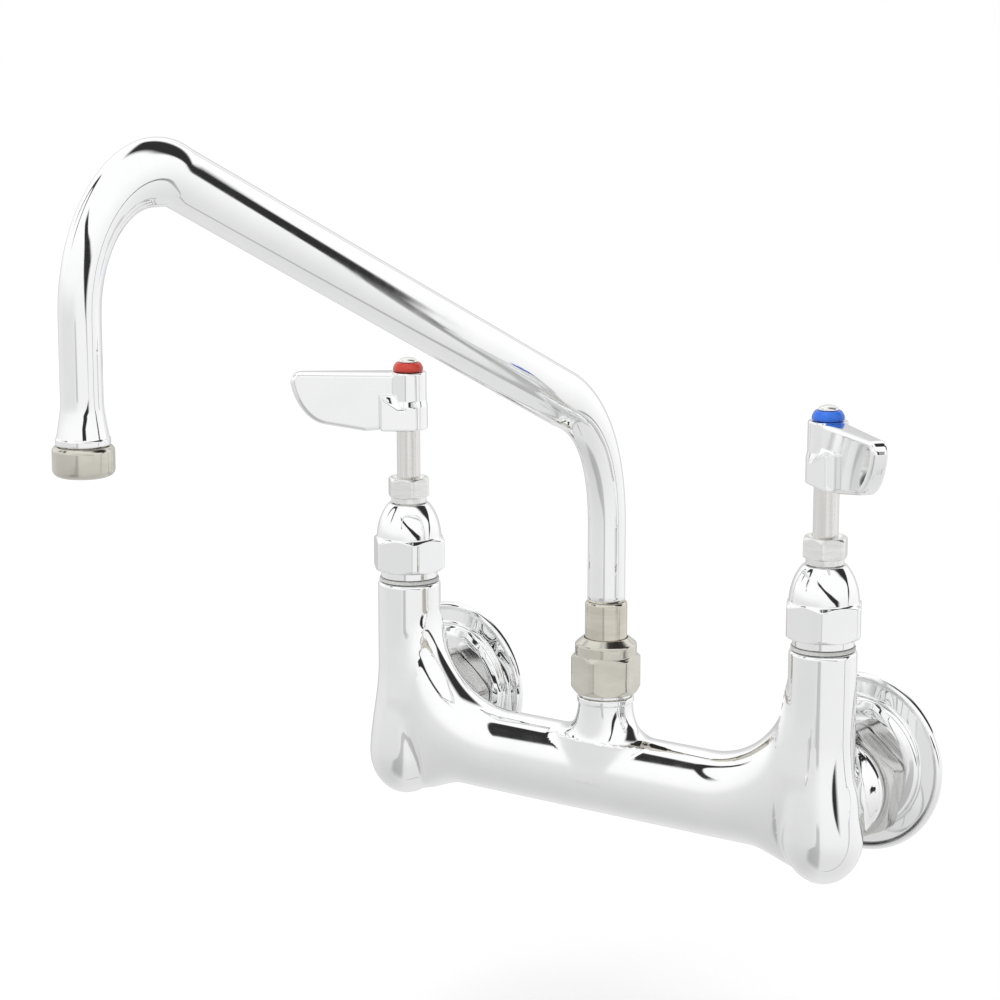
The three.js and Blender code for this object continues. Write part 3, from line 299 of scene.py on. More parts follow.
def bar_distance(x, y, z):
    """Upright ellipse whose top edge climbs in a quarter circle towards each tower."""
    out = np.abs(x)
    run = np.clip(out - ARCH_START, 0, ARCH_RADIUS - 0.1)
    top = ARCH_RADIUS - np.sqrt(ARCH_RADIUS**2 - run**2)
    bottom = BAR_BOTTOM - 6.24 * eased_step((out - 71.4) / 24)
    centre, half = (top + bottom) / 2, (top - bottom) / 2
    size = np.hypot(y / BAR_HALF_DEPTH, (z - centre) / half)
    slope = np.hypot(y / BAR_HALF_DEPTH**2, (z - centre) / half**2)
    return np.maximum(size * (size - 1) / np.maximum(slope, 0.02), out - HALF_CENTRES)


def boss_distance(x, y, z):
    """Oval flare that narrows upwards in a quarter ellipse, with a flat lip and the spout's neck."""
    fall = np.clip((12.6 - z) / 15, 0, 1)
    opening = 1 - np.sqrt(1 - fall**2)
    deep_down = np.clip((-2.4 - z) / 15.2, 0, 1)
    wide = BOSS_RADIUS + 11.5 * opening - 11.0 * deep_down
    deep = BOSS_RADIUS + 1.3 * opening - 0.8 * deep_down
    size = np.hypot(x / wide, y / deep)
    slope = np.maximum(np.hypot(x / wide**2, y / deep**2), 0.02)
    flare = np.maximum(trimmed(size * (size - 1) / slope, z - 12.9, 0.3), BAR_AXIS - z)
    reach = np.hypot(x, y)
    lip = trimmed(reach - 11.7, np.abs(z - 13.9) - 1.3, 0.7)
    neck = np.maximum(reach - 10.3, np.maximum(z - 28.8, -z))
    return flare, np.minimum(lip, neck)


def hub_distance(x, y, z, side):
    """Round hub about the pipe's direction: its radius follows y from the tower back to the wall."""
    radius = np.interp(y, HUB_PLACES, HUB_RADII)
    reach = np.hypot(x - side * HALF_CENTRES, z + HUB_DROP)
    return np.maximum(reach - radius, -y)


def bores_distance(x, y, z, side):
    """Valve chamber, seat hole, lower chamber, inlet and its thread, behind one tower."""
    upright = np.hypot(x - side * HALF_CENTRES, y)
    level = np.hypot(x - side * HALF_CENTRES, z + HUB_DROP)
    chamber = np.maximum(upright - 10.6, 8 - z)
    seat_hole = np.maximum(upright - 7.6, np.abs(z - 4) - 5)
    lower = np.maximum(upright - 9.8, np.abs(z + 18) - 18)
    inlet = np.maximum(level - 7.2, np.abs(y - 9) - 9)
    thread = np.maximum(level - 10.3, np.abs(y - 14) - 4.3)
    return np.minimum.reduce([chamber, seat_hole, lower, inlet, thread])


def casting_distance(points):
    """Signed distance to the casting's skin, in mm, below zero inside the metal."""
    x, y, z = points[..., 0], points[..., 1], points[..., 2]
    flare, collar = boss_distance(x, y, z)
    flare_fillet = 3.0 + 2.0 * eased_step((z + 14) / 10)
    tower_fillet = 1.4 + 2.6 * eased_step((z + 8) / 10)
    hub_fillet = 5.0
    metal = merged(bar_distance(x, y, z), flare, flare_fillet)
    for side in (-1, 1):
        metal = merged(metal, tower_distance(x, y, z, side), tower_fillet)
    for side in (-1, 1):
        metal = merged(metal, hub_distance(x, y, z, side), hub_fillet)
    metal = np.minimum(trimmed(metal, y - HUB_PLACES[-1], 1.4), collar)
    bar_bore = np.maximum(np.hypot(y, z - BAR_AXIS) - 9.4, np.abs(x) - 63.6)
    boss_bore = np.maximum(np.hypot(x, y) - 7.7, BAR_AXIS - z)
    hollow = np.minimum.reduce([bar_bore, boss_bore, bores_distance(x, y, z, -1), bores_distance(x, y, z, 1)])
    return np.maximum(metal, -hollow)


def slope_of(distance, points):
    """Change of a distance per mm along each axis, from its values 0.05 mm to either side."""
    steps = np.eye(3) * 0.05
    return np.stack([(distance(points + step) - distance(points - step)) / 0.1 for step in steps], axis=1)


def skin_of(distance, levels):
    """Skin of a solid given by its signed distance: one point in each box of a grid that the
    skin passes through, at the mean of its edge crossings, then moved onto the skin along the slope."""
    xs, ys, zs = levels
    shape = (len(xs), len(ys), len(zs))
    values = np.empty(shape, dtype=np.float32)
    for start in range(0, shape[0], 16):
        block = np.stack(np.meshgrid(xs[start:start + 16], ys, zs, indexing="ij"), axis=-1)
        values[start:start + 16] = distance(block)
    inside = values < 0
    total = np.zeros((shape[0] - 1, shape[1] - 1, shape[2] - 1, 3))
    count = np.zeros(total.shape[:3])
    quads = []
    for axis in range(3):
        low = [slice(None)] * 3
        high = [slice(None)] * 3
        low[axis], high[axis] = slice(None, -1), slice(1, None)
        first, second = values[tuple(low)], values[tuple(high)]
        crossed = inside[tuple(low)] != inside[tuple(high)]
        spots = np.argwhere(crossed)
        share = first[crossed] / (first[crossed] - second[crossed])
        place = np.stack([xs[spots[:, 0]], ys[spots[:, 1]], zs[spots[:, 2]]], axis=1)
        step = np.diff(levels[axis])[spots[:, axis]]
        place[:, axis] += share * step
        others = [a for a in range(3) if a != axis]
        ring = []
        for shift_a, shift_b in ((0, 0), (1, 0), (1, 1), (0, 1)):
            box = spots.copy()
            box[:, others[0]] -= 1 - shift_a
            box[:, others[1]] -= 1 - shift_b
            np.add.at(total, tuple(box.T), place)
            np.add.at(count, tuple(box.T), 1)
            ring.append(np.ravel_multi_index(tuple(box.T), count.shape))
        ring = np.stack(ring, axis=1)
        # Each ring runs round its axis the right-handed way, but round y the other way.
        outward = inside[tuple(low)][crossed]
        if axis == 1:
            outward = ~outward
        ring[~outward] = ring[~outward][:, ::-1]
        quads.append(ring)
    quads = np.concatenate(quads)
    used = np.flatnonzero(count.ravel() > 0)
    number = np.full(count.size, -1)
    number[used] = np.arange(len(used))
    points = total.reshape(-1, 3)[used] / count.ravel()[used][:, None]
    reach = min(np.diff(level).max() for level in levels)
    for _ in range(4):
        slope = slope_of(distance, points)
        steep = np.maximum((slope**2).sum(axis=1), 0.04)
        points = points - np.clip(distance(points) / steep, -reach, reach)[:, None] * slope
    slope = slope_of(distance, points)
    normals = slope / np.maximum(np.linalg.norm(slope, axis=1), 1e-9)[:, None]
    return points, number[quads], normals


def levels_of(*stretches):
    """Grid levels along one axis: each stretch is (from, to, spacing), and each follows the last."""
    counts = [max(2, round((high - low) / step) + 1) for low, high, step in stretches]
    parts = [np.linspace(low, high, count)[:-1] for (low, high, step), count in zip(stretches, counts)]
    return np.concatenate(parts + [np.array([stretches[-1][1]])])


def add_piece(name, points, faces, finish, body, stands_for, normals=None):
    """Mesh from arrays of points in metres and faces, on its body, in place of its solid."""
    mesh = bpy.data.meshes.new(name)
    mesh.from_pydata(points, [], faces)
    if normals is None:
        shape = bmesh.new()
        shape.from_mesh(mesh)
        bmesh.ops.remove_doubles(shape, verts=shape.verts, dist=2e-7)
        bmesh.ops.recalc_face_normals(shape, faces=shape.faces)
        shape.to_mesh(mesh)
        shape.free()
    mesh.shade_smooth()
    if normals is not None:
        mesh.normals_split_custom_set_from_vertices(normals)
    mesh.materials.append(finish)
    piece = bpy.data.objects.new(name, mesh)
    scene.collection.objects.link(piece)
    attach(piece, body)
    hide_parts(stands_for)
    return piece


class Finish:
    """A metal, rubber, fibre or plastic with its own grain, told in the piece's own coordinates."""

    def __init__(self, name, colour, metallic, roughness):
        self.material = bpy.data.materials.new(name)
        self.material.use_nodes = True
        self.nodes = self.material.node_tree.nodes
        self.links = self.material.node_tree.links
        self.shader = self.nodes["Principled BSDF"]
        self.shader.inputs["Base Color"].default_value = colour
        self.shader.inputs["Metallic"].default_value = metallic
        self.shader.inputs["Roughness"].default_value = roughness
        self.place = self.nodes.new("ShaderNodeTexCoord").outputs["Object"]

    def grain(self, stretch, detail=4.0):
        """Noise whose cells are 1/stretch metres long on each axis."""
        mapping = self.nodes.new("ShaderNodeMapping")
        mapping.inputs["Scale"].default_value = stretch
        self.links.new(self.place, mapping.inputs["Vector"])
        noise = self.nodes.new("ShaderNodeTexNoise")
        noise.inputs["Scale"].default_value = 1.0
        noise.inputs["Detail"].default_value = detail
        noise.inputs["Roughness"].default_value = 0.55
        self.links.new(mapping.outputs["Vector"], noise.inputs["Vector"])
        return noise.outputs["Fac"]

    def rough(self, value, least, most, low=0.3):
        """Roughness that runs from least to most as the value goes from low to 0.7."""
        gloss = self.nodes.new("ShaderNodeMapRange")
        set_range(gloss, low, 0.7, least, most)
        self.links.new(value, gloss.inputs["Value"])
        self.links.new(gloss.outputs["Result"], self.shader.inputs["Roughness"])

    def tint(self, value, first, last):
        """Colour that runs from first to last as the value goes from 0.3 to 0.7."""
        ramp = self.nodes.new("ShaderNodeValToRGB")
        ramp.color_ramp.elements[0].color = first
        ramp.color_ramp.elements[0].position = 0.3
        ramp.color_ramp.elements[1].color = last
        ramp.color_ramp.elements[1].position = 0.7
        self.links.new(value, ramp.inputs["Fac"])
        self.links.new(ramp.outputs["Color"], self.shader.inputs["Base Color"])

    def relief(self, value, depth):
        """Bump of the given depth in metres, on top of any laid before."""
        bump = self.nodes.new("ShaderNodeBump")
        bump.inputs["Distance"].default_value = depth
        bump.inputs["Strength"].default_value = 1.0
        self.links.new(value, bump.inputs["Height"])
        before = self.shader.inputs["Normal"].links
        if before:
            self.links.new(before[0].from_socket, bump.inputs["Normal"])
        self.links.new(bump.outputs["Normal"], self.shader.inputs["Normal"])


def polished_chrome(name, least, most, wave):
    """Mirror chrome: a faint swell left by polishing, fine hairlines and uneven gloss."""
    finish = Finish(name, CHROME_COLOUR, 1.0, least)
    swell = finish.grain((55, 55, 55), 2.0)
    hair = finish.grain((420, 420, 2600), 3.0)
    finish.rough(finish.grain((90, 90, 90), 5.0), least, most, 0.35)
    finish.tint(swell, (0.885, 0.888, 0.89, 1), (0.91, 0.912, 0.912, 1))
    finish.relief(swell, wave)
    finish.relief(hair, 2.0e-7)
    return finish.material


cast_chrome = polished_chrome("polished_cast_chrome", 0.03, 0.07, 3.5e-6)
CASTING_GRID = 1.3
casting_levels = (
    levels_of((-122.6, 122.6, CASTING_GRID)),
    levels_of((-17, 12.4, CASTING_GRID), (12.4, 17.7, 0.5)),
    levels_of((-46.3, 11.6, CASTING_GRID), (11.6, 16.0, 0.32), (16.0, 47.4, CASTING_GRID),
              (47.4, 50.0, 0.35)),
)
skin_points, skin_faces, skin_normals = skin_of(casting_distance, casting_levels)
skin_points = (skin_points + (0, -WALL_GAP, DATUM)) * MM
add_piece("cast_body", skin_points, skin_faces, cast_chrome, "faucet_body", "body_casting",
          skin_normals)

# ---- Bonnets and gaskets --------------------------------------------------------------------
# A bonnet is turned from brass bar: a thread below, a hexagon with its corners turned off, and a
# dome that takes the packing. It is chromed. A thin fibre ring seals it on the tower.
ROUND = np.linspace(0, 2 * np.pi, 129)[:-1]


def hexagon_angles(turn):
    """Angles round a hexagon, close together at its six corners, turned by so many degrees."""
    sweep = np.sin(np.linspace(-1, 1, 27)[:-1] * np.pi / 2) * 30
    return np.radians((np.arange(6)[:, None] * 60 + 30 + sweep).ravel()), np.radians(turn)


def hexagon_reach(angles, flats, ease):
    """Distance from the axis to a hexagon's side at each angle, corners rounded by ease mm."""
    off = (np.degrees(angles) % 60) - 30
    side = flats / 2 / np.cos(np.radians(off))
    corner = 0.965 * flats / math.sqrt(3)
    return merged(side, corner, ease)


def softened(profile, ease, closed):
    """Profiles of shape (turns, corners, 2) with each corner drawn as a short curve between two
    points ease mm away from it, and one more point outside each end to keep the flats flat."""
    profile = np.asarray(profile, dtype=float)
    if profile.ndim == 2:
        profile = profile[None]
    ease = np.broadcast_to(np.asarray(ease, dtype=float), profile.shape[1:2])[None, :, None]
    before = np.roll(profile, 1, axis=1) - profile
    after = np.roll(profile, -1, axis=1) - profile
    before_length = np.linalg.norm(before, axis=2, keepdims=True)
    after_length = np.linalg.norm(after, axis=2, keepdims=True)
    cut = np.minimum(ease, 0.42 * np.minimum(before_length, after_length))
    before = before / np.maximum(before_length, 1e-9)
    after = after / np.maximum(after_length, 1e-9)
    guard = np.minimum(0.15, 0.05 * np.minimum(before_length, after_length))
    guard = np.where(cut > 0, guard, 0)
    rows = [profile + before * (cut + guard)]
    for t in (0.0, 0.25, 0.5, 0.75, 1.0):
        rows.append(profile + before * cut * (1 - t) ** 2 + after * cut * t**2)
    rows.append(profile + after * (cut + guard))
    drawn = np.stack(rows, axis=2).reshape(profile.shape[0], -1, 2)
    if not closed:
        drawn = np.concatenate([profile[:, :1], drawn[:, 7:-7], profile[:, -1:]], axis=1)
    return drawn


def turned_points(profile, angles, place, towards="up"):
    """A profile of radius and height carried round an axis through place, upright or to the wall."""
    radius, height = profile[..., 0], profile[..., 1]
    angles = angles[:, None]
    level_a, level_b = radius * np.cos(angles), radius * np.sin(angles)
    height = height + np.zeros_like(level_a)
    if towards == "up":
        return np.stack([level_a, level_b, height], axis=-1) + place
    return np.stack([level_a, height, -level_b], axis=-1) + place


def grid_faces(rows, columns, closed):
    """Four-cornered faces of a grid that closes in its first direction, and if asked in its second."""
    index = np.arange(rows * columns).reshape(rows, columns)
    index = np.concatenate([index, index[:1]], axis=0)
    if closed:
        index = np.concatenate([index, index[:, :1]], axis=1)
    quads = np.stack([index[:-1, :-1], index[1:, :-1], index[1:, 1:], index[:-1, 1:]], axis=-1)
    return quads.reshape(-1, 4)


def add_turned(name, profile, ease, place, finish, body, stands_for,
               angles=ROUND, turn=0.0, towards="up", closed=True):
    """A turned piece on its body; the profile may differ from one angle to the next."""
    drawn = softened(profile, ease, closed)
    points = turned_points(drawn, angles + turn, np.asarray(place, dtype=float), towards)
    faces = grid_faces(points.shape[0], points.shape[1], closed)
    return add_piece(name, points.reshape(-1, 3) * MM, faces, finish, body, stands_for)


def spread(*corners):
    """Profile whose corners are numbers or one number for each angle, as (angles, corners, 2)."""
    parts = [np.stack(np.broadcast_arrays(radius, height), axis=-1) for radius, height in corners]
    widest = max(part.shape[0] if part.ndim == 2 else 1 for part in parts)
    return np.stack([np.broadcast_to(part, (widest, 2)) for part in parts], axis=1)


def nut_corners(angles, flats, bottom, top, chamfer_bottom, chamfer_top, ease=0.5):
    """The four corners where a hexagon's side meets the cones that turn its ends off."""
    reach = hexagon_reach(angles, flats, ease)
    face, corner = flats / 2 - 0.2, flats / math.sqrt(3)
    share = (reach - face) / (corner - face)
    lower, upper = bottom + chamfer_bottom * share, top - chamfer_top * share
    return (face, bottom), (reach, lower), (reach, upper), (face, top)


bright_chrome = polished_chrome("polished_turned_chrome", 0.025, 0.06, 5e-6)
gasket_fibre = Finish("grey_fibre", (0.76, 0.76, 0.75, 1), 0.0, 0.8)
gasket_fibre.tint(gasket_fibre.grain((900, 900, 900)), (0.70, 0.70, 0.69, 1), (0.82, 0.82, 0.81, 1))
gasket_fibre.relief(gasket_fibre.grain((2500, 2500, 2500)), 3e-5)
VALVES = [
    ("hot", np.array([-HALF_CENTRES, -WALL_GAP, DATUM])),
    ("cold", np.array([HALF_CENTRES, -WALL_GAP, DATUM])),
]
BONNET_TURNS = {"hot": -44.1, "cold": -62.0}
DOME_FOOT, DOME_RADIUS, DOME_MOUTH = 68, 13.85, 8.5
DOME_HALF_HEIGHT = 15.6 / 0.7895

# The dome is part of an ellipse, cut off at its mouth.
dome_turns = np.linspace(0.08, 1, 12) * math.acos(DOME_MOUTH / DOME_RADIUS)
dome = [(DOME_RADIUS * math.cos(t), DOME_FOOT + DOME_HALF_HEIGHT * math.sin(t)) for t in dome_turns]
for label, valve in VALVES:
    angles, turn = hexagon_angles(BONNET_TURNS[label])
    foot, lower, upper, brow = nut_corners(angles, 28.7, 54.8, 69.0, 2.0, 1.6)
    outline = spread(
        (7.9, 23.6), (10.3, 23.6), (10.3, 51.6), (12.1, 51.6), (12.1, 54.8),
        foot, lower, upper, brow, *dome, (6.9, 83.6), (6.9, 70.8), (5.3, 70.8), (5.3, 62.8), (7.9, 62.8),
    )
    ease = [0.3, 0.3, 0.1, 0.3, 0.2, 0.25, 0.35, 0.35, 0.25, 0.2]
    ease += [0.0] * 10 + [0.5, 0.3, 0.2, 0.2, 0.2, 0.2]
    add_turned(f"{label}_bonnet_turned", outline, ease, valve, bright_chrome, "faucet_body",
               f"{label}_bonnet", angles, turn)
    add_turned(f"{label}_gasket", [(10.9, 49.9), (12.7, 49.9), (12.7, 51.3), (10.9, 51.3)], 0.3, valve,
               gasket_fibre.material, "faucet_body", f"{label}_bonnet_gasket")

# ---- Packing nuts ---------------------------------------------------------------------------
# A small brass hexagon with a satin chrome finish. Its round shank presses the packing, and its
# top is countersunk round the stem.
PACKING_TURNS = {"hot": -42.6, "cold": -68.6}
satin_chrome = Finish("satin_chrome", (0.84, 0.84, 0.82, 1), 1.0, 0.26)
satin_chrome.rough(satin_chrome.grain((60, 60, 1600)), 0.2, 0.36)
satin_chrome.tint(satin_chrome.grain((120, 120, 700)), (0.80, 0.80, 0.78, 1), (0.89, 0.89, 0.87, 1))
satin_chrome.relief(satin_chrome.grain((40, 40, 3200), 2.0), 1.5e-6)

for label, valve in VALVES:
    angles, turn = hexagon_angles(PACKING_TURNS[label])
    foot, lower, upper, brow = nut_corners(angles, 16.4, 86.3, 94.7, 0.8, 1.6, 0.3)
    outline = spread(
        (5.3, 77.3), (6.6, 77.3), (6.6, 83.9), (7.5, 83.9), (7.5, 86.3), foot, lower, upper, brow,
        (6.9, 94.7), (5.3, 92.7),
    )
    ease = [0.2, 0.2, 0.1, 0.3, 0.2, 0.2, 0.3, 0.3, 0.3, 0.3, 0.2]
    add_turned(f"{label}_packing_hexagon", outline, ease, valve, satin_chrome.material, "faucet_body",
               f"{label}_packing_nut", angles, turn)

# ---- Stems ----------------------------------------------------------------------------------
# A brass spindle, its bare shaft satin finished along its length. The spline below the lever's
# top and the thread in the bonnet are out of sight.
satin_stem = Finish("satin_stem", (0.80, 0.79, 0.77, 1), 1.0, 0.22)
satin_stem.rough(satin_stem.grain((1400, 1400, 14)), 0.16, 0.34)
satin_stem.tint(satin_stem.grain((700, 700, 9)), (0.70, 0.69, 0.67, 1), (0.88, 0.87, 0.85, 1))
satin_stem.relief(satin_stem.grain((2600, 2600, 20), 2.0), 2e-6)

# The outline runs as (radius, level) from the foot up the outside and down the screw's hole.
outline = [
    (0.0, 14.4), (6.9, 14.4), (6.9, 17.4), (5.4, 18.4), (5.4, 32.8), (7.6, 33.8), (7.6, 57.8),
    (5.0, 58.8), (5.0, 115.1), (4.1, 115.1), (4.1, 134.4), (2.2, 134.4), (2.2, 124.2), (0.0, 124.2),
]
for label, valve in VALVES:
    add_turned(f"{label}_spindle", outline, 0.2, valve, satin_stem.material, f"{label}_spindle",
               f"{label}_stem", closed=False)

# ---- Levers ---------------------------------------------------------------------------------
# One chromed casting each: a blade with rounded edges that narrows to its tip, a round hub, and a
# flat cheek on each side of the lower hub with a hollow slope above it. It is bored for the stem.
LEVER_BOTTOM = 115.4
LEVER_TOP = 140
CHEEK_HALF = 8.3
CHEEK_TOP = 130
CHEEK_ENDS = (11.5, 17.5)


def outline_distance(x, z, corners):
    """Signed distance in the blade's plane to a closed outline of many short sides."""
    start = corners
    side = np.roll(corners, -1, axis=0) - start
    best = np.full(x.shape, 1e9)
    inside = np.zeros(x.shape, dtype=bool)
    for (ax, az), (dx, dz) in zip(start, side):
        t = np.clip(((x - ax) * dx + (z - az) * dz) / (dx * dx + dz * dz), 0, 1)
        best = np.minimum(best, np.hypot(x - ax - t * dx, z - az - t * dz))
        crossing = ((az > z) != (az + dz > z)) & (x < ax + dx * (z - az) / (dz if dz else 1e-9))
        inside ^= crossing
    return np.where(inside, -best, best)


def curve(points, steps):
    """Points along a Bezier curve with three or four control points, the first one left out."""
    points = np.asarray(points, dtype=float)
    t = np.linspace(0, 1, steps + 1)[1:, None]
    if len(points) == 3:
        return points[0] * (1 - t) ** 2 + 2 * points[1] * t * (1 - t) + points[2] * t**2
    return (points[0] * (1 - t) ** 3 + 3 * points[1] * t * (1 - t) ** 2
            + 3 * points[2] * t**2 * (1 - t) + points[3] * t**3)


blade_outline = np.concatenate([
    [(0, 116.7), (11.5, 116.7), (18, 116.1), (35.3, 118.9)],
    curve([(35.3, 118.9), (41.25, 119.9), (46.8, 126.85), (48.4, 135.3)], 10),
    curve([(48.4, 135.3), (48.6, 138.1), (45.4, 138.7)], 4),
    [(0, 138.7)],
])


def lever_distance(points):
    """Signed distance to one lever about its own axis, the blade along +x."""
    x, y, z = points[..., 0], points[..., 1], points[..., 2]
    width = 5.5 - 2.15 * np.clip(x / 49.7, 0, 1)
    blade = trimmed(outline_distance(x, z, blade_outline) - 1.3, np.abs(y) - width, 2.2)
    front = np.where(y > 0, *CHEEK_ENDS)
    edge_top = 124.6 + 5.4 * np.clip((x - 4) / (front - 4), 0, 1)
    slope_top = edge_top + (CHEEK_TOP - edge_top) * np.clip((CHEEK_HALF - np.abs(y)) / 2.8, 0, 1)
    cheek = trimmed(np.abs(y) - CHEEK_HALF, x - front, 0.7)
    cheek = trimmed(trimmed(cheek, LEVER_BOTTOM - z, 1.2), (z - slope_top) * 0.5, 0.5)
    cheek = np.maximum(cheek, -x)
    reach = np.hypot(x, y)
    lower_hub = trimmed(reach - np.interp(z, [125.5, 128], [CHEEK_HALF, 7.8]), LEVER_BOTTOM - z, 1.2)
    hub = trimmed(lower_hub, z - LEVER_TOP, 0.8)
    metal = merged(np.minimum(hub, cheek), blade, 0.7)
    hole = np.minimum(np.maximum(reach - 4.4, z - 134.7), reach - 2.2)
    return np.maximum(metal, -hole)


LEVER_TURNS = {"hot": 216.0, "cold": 323.0}
LEVER_GRID = 0.4
lever_levels = (
    levels_of((-9.0, 50.4, LEVER_GRID)),
    levels_of((-8.8, 8.8, LEVER_GRID)),
    levels_of((114.4, 140.6, LEVER_GRID)),
)
lever_points, lever_faces, lever_normals = skin_of(lever_distance, lever_levels)
for label, valve in VALVES:
    turn = math.radians(LEVER_TURNS[label])
    about = np.array([[math.cos(turn), -math.sin(turn), 0], [math.sin(turn), math.cos(turn), 0], [0, 0, 1]])
    placed = (lever_points @ about.T + valve) * MM
    add_piece(f"{label}_lever_casting", placed, lever_faces, cast_chrome, f"{label}_spindle",
              f"{label}_lever", lever_normals @ about.T)

# ---- Index rings and handle screws ----------------------------------------------------------
# A moulded plastic ring, red for hot and blue for cold, sits on the lever's hub. It is held by a
# plated brass screw with a domed head, which runs through the lever into the stem.
RING_COLOURS = {
    "hot": ("red_plastic", (0.52, 0.035, 0.025, 1), (0.66, 0.06, 0.04, 1)),
    "cold": ("blue_plastic", (0.02, 0.14, 0.70, 1), (0.035, 0.20, 0.84, 1)),
}
ring_outline = [
    (2.2, 140.3), (6.2, 140.3), (6.4, 141.2), (6.2, 142.1), (5.8, 142.9), (5.1, 143.9), (2.2, 143.9),
]
crown = [(4 * math.cos(t), 144.2 + 1.9 * math.sin(t)) for t in np.linspace(0, np.pi / 2, 8)[1:-1]]
screw_outline = [(0.0, 127.8), (1.9, 127.8), (1.9, 144.2), (4.0, 144.2), *crown, (0.0, 146.1)]
for label, valve in VALVES:
    plastic, deep, pale = RING_COLOURS[label]
    moulded = Finish(f"{label}_moulded_plastic", deep, 0.0, 0.3)
    moulded.tint(moulded.grain((160, 160, 160)), deep, pale)
    moulded.rough(moulded.grain((700, 700, 700)), 0.24, 0.4)
    moulded.relief(moulded.grain((1800, 1800, 1800)), 6e-6)
    add_turned(f"{label}_colour_ring", ring_outline, [0.2, 0.2, 0.3, 0.3, 0.4, 0.4, 0.2], valve,
               moulded.material, f"{label}_spindle", f"{label}_index_ring")
    add_turned(f"{label}_domed_screw", screw_outline, [0, 0.1, 0.1, 0.3] + [0] * 7, valve,
               satin_chrome.material, f"{label}_spindle", f"{label}_handle_screw",
               closed=False)

# ---- Coupling nuts and wall flanges ---------------------------------------------------------
# A big brass hexagon pulls each hub against its flange. The flange is pressed and turned from
# brass, with a rolled rim, a hollow and a raised hub, and is screwed on the pipe in the wall.
turned_satin = Finish("satin_turned_toward_wall", (0.74, 0.74, 0.73, 1), 1.0, 0.24)
turned_satin.rough(turned_satin.grain((60, 1600, 60)), 0.14, 0.3)
turned_satin.tint(turned_satin.grain((90, 300, 90)), (0.60, 0.60, 0.59, 1), (0.70, 0.70, 0.69, 1))
turned_satin.relief(turned_satin.grain((40, 3000, 40), 2.0), 1.5e-6)

angles, turn = hexagon_angles(-21.5)
front, near, far, back = nut_corners(angles, 43.0, 17.3, 27.7, 2.2, 1.2, 0.8)
nut_outline = spread((10.3, 17.3), front, near, far, back, (15.3, 27.7), (15.3, 20.5), (10.3, 20.5))
flange_outline = [
    (10.4, 33.5), (10.4, 28.0), (23.0, 28.0), (26.5, 29.4), (27.5, 31.4), (33.5, 31.9), (34.2, 30.5),
    (35.1, 30.1), (36.2, 31.0), (36.5, 32.7), (35.9, 33.5),
]
flange_outline = softened(flange_outline, [0.3, 0.3, 1.2, 1.0, 0.8, 0.8, 0.5, 0.6, 0.7, 0.5, 0.2], True)
spigot_outline = softened([(7.2, 25.5), (15.0, 25.5), (15.0, 28.6), (7.2, 28.6)], 0.3, True)
for label, valve in VALVES:
    union = valve - (0, 0, HUB_DROP)
    pipe = valve - (0, 0, DATUM)
    add_turned(f"{label}_coupling_hexagon", nut_outline, [0.4, 0.3, 0.5, 0.5, 0.3, 0.3, 0.2, 0.2], union,
               turned_satin.material, "faucet_body", f"{label}_coupling_nut",
               angles, turn, "wall")
    plate = turned_points(flange_outline, ROUND, pipe, "wall")
    spigot = turned_points(spigot_outline, ROUND, union, "wall")
    faces = np.concatenate([
        grid_faces(plate.shape[0], plate.shape[1], True),
        grid_faces(spigot.shape[0], spigot.shape[1], True) + plate.shape[0] * plate.shape[1],
    ])
    points = np.concatenate([plate.reshape(-1, 3), spigot.reshape(-1, 3)]) * MM
    add_piece(f"{label}_flange_plate", points, faces, bright_chrome, "faucet_body",
              f"{label}_wall_flange")

# ---- Swivel nut and sleeve ------------------------------------------------------------------
# The swivel nut, satin nickel on brass, holds the sleeve's flange down on the boss. The sleeve is
# brazed on the tube and turns in the boss on two rubber rings.
swivel = (0, -WALL_GAP, DATUM)
satin_nickel = Finish("satin_nickel", (0.60, 0.56, 0.50, 1), 1.0, 0.3)
satin_nickel.rough(satin_nickel.grain((70, 70, 220)), 0.1, 0.2)
satin_nickel.tint(satin_nickel.grain((60, 60, 160)), (0.58, 0.56, 0.50, 1), (0.66, 0.64, 0.57, 1))
satin_nickel.relief(satin_nickel.grain((400, 400, 1600), 2.0), 6e-7)
bright_nickel = Finish("polished_nickel", (0.80, 0.76, 0.69, 1), 1.0, 0.12)
bright_nickel.rough(bright_nickel.grain((60, 60, 1500)), 0.07, 0.18)
bright_nickel.tint(bright_nickel.grain((60, 60, 300)), (0.59, 0.56, 0.48, 1), (0.68, 0.65, 0.57, 1))
bright_nickel.relief(bright_nickel.grain((40, 40, 3000), 2.0), 8e-7)

angles, turn = hexagon_angles(-20.6)
foot, lower, upper, brow = nut_corners(angles, 25.6, 16.8, 32.8, 3.0, 1.6)
outline = spread(
    (10.6, 16.8), foot, lower, upper, (12.7, 32.7), (12.7, 37.2), (9.55, 39.8), (8.95, 39.8), (8.95, 33.0),
    (10.6, 33.0),
)
add_turned("swivel_hexagon", outline, [0.3, 0.3, 0.4, 0.4, 0.3, 0.6, 0.4, 0.2, 0.2, 0.2], swivel,
           satin_nickel.material, "faucet_body", "swivel_nut", angles, turn)
outline = [
    (4.4, 11.6), (7.4, 11.6), (7.4, 13.8), (5.4, 13.8), (5.4, 16.2), (7.4, 16.2), (7.4, 20.8),
    (5.4, 20.8), (5.4, 23.2), (7.4, 23.2), (7.4, 29.1), (10.2, 29.1), (10.2, 31.1), (8.65, 31.1),
    (8.65, 54.0), (8.05, 54.8), (7.2, 54.8), (7.2, 40.5), (4.4, 40.5),
]
add_turned("sleeve_turned", outline, 0.25, swivel, bright_nickel.material, "spout",
           "spout_sleeve")

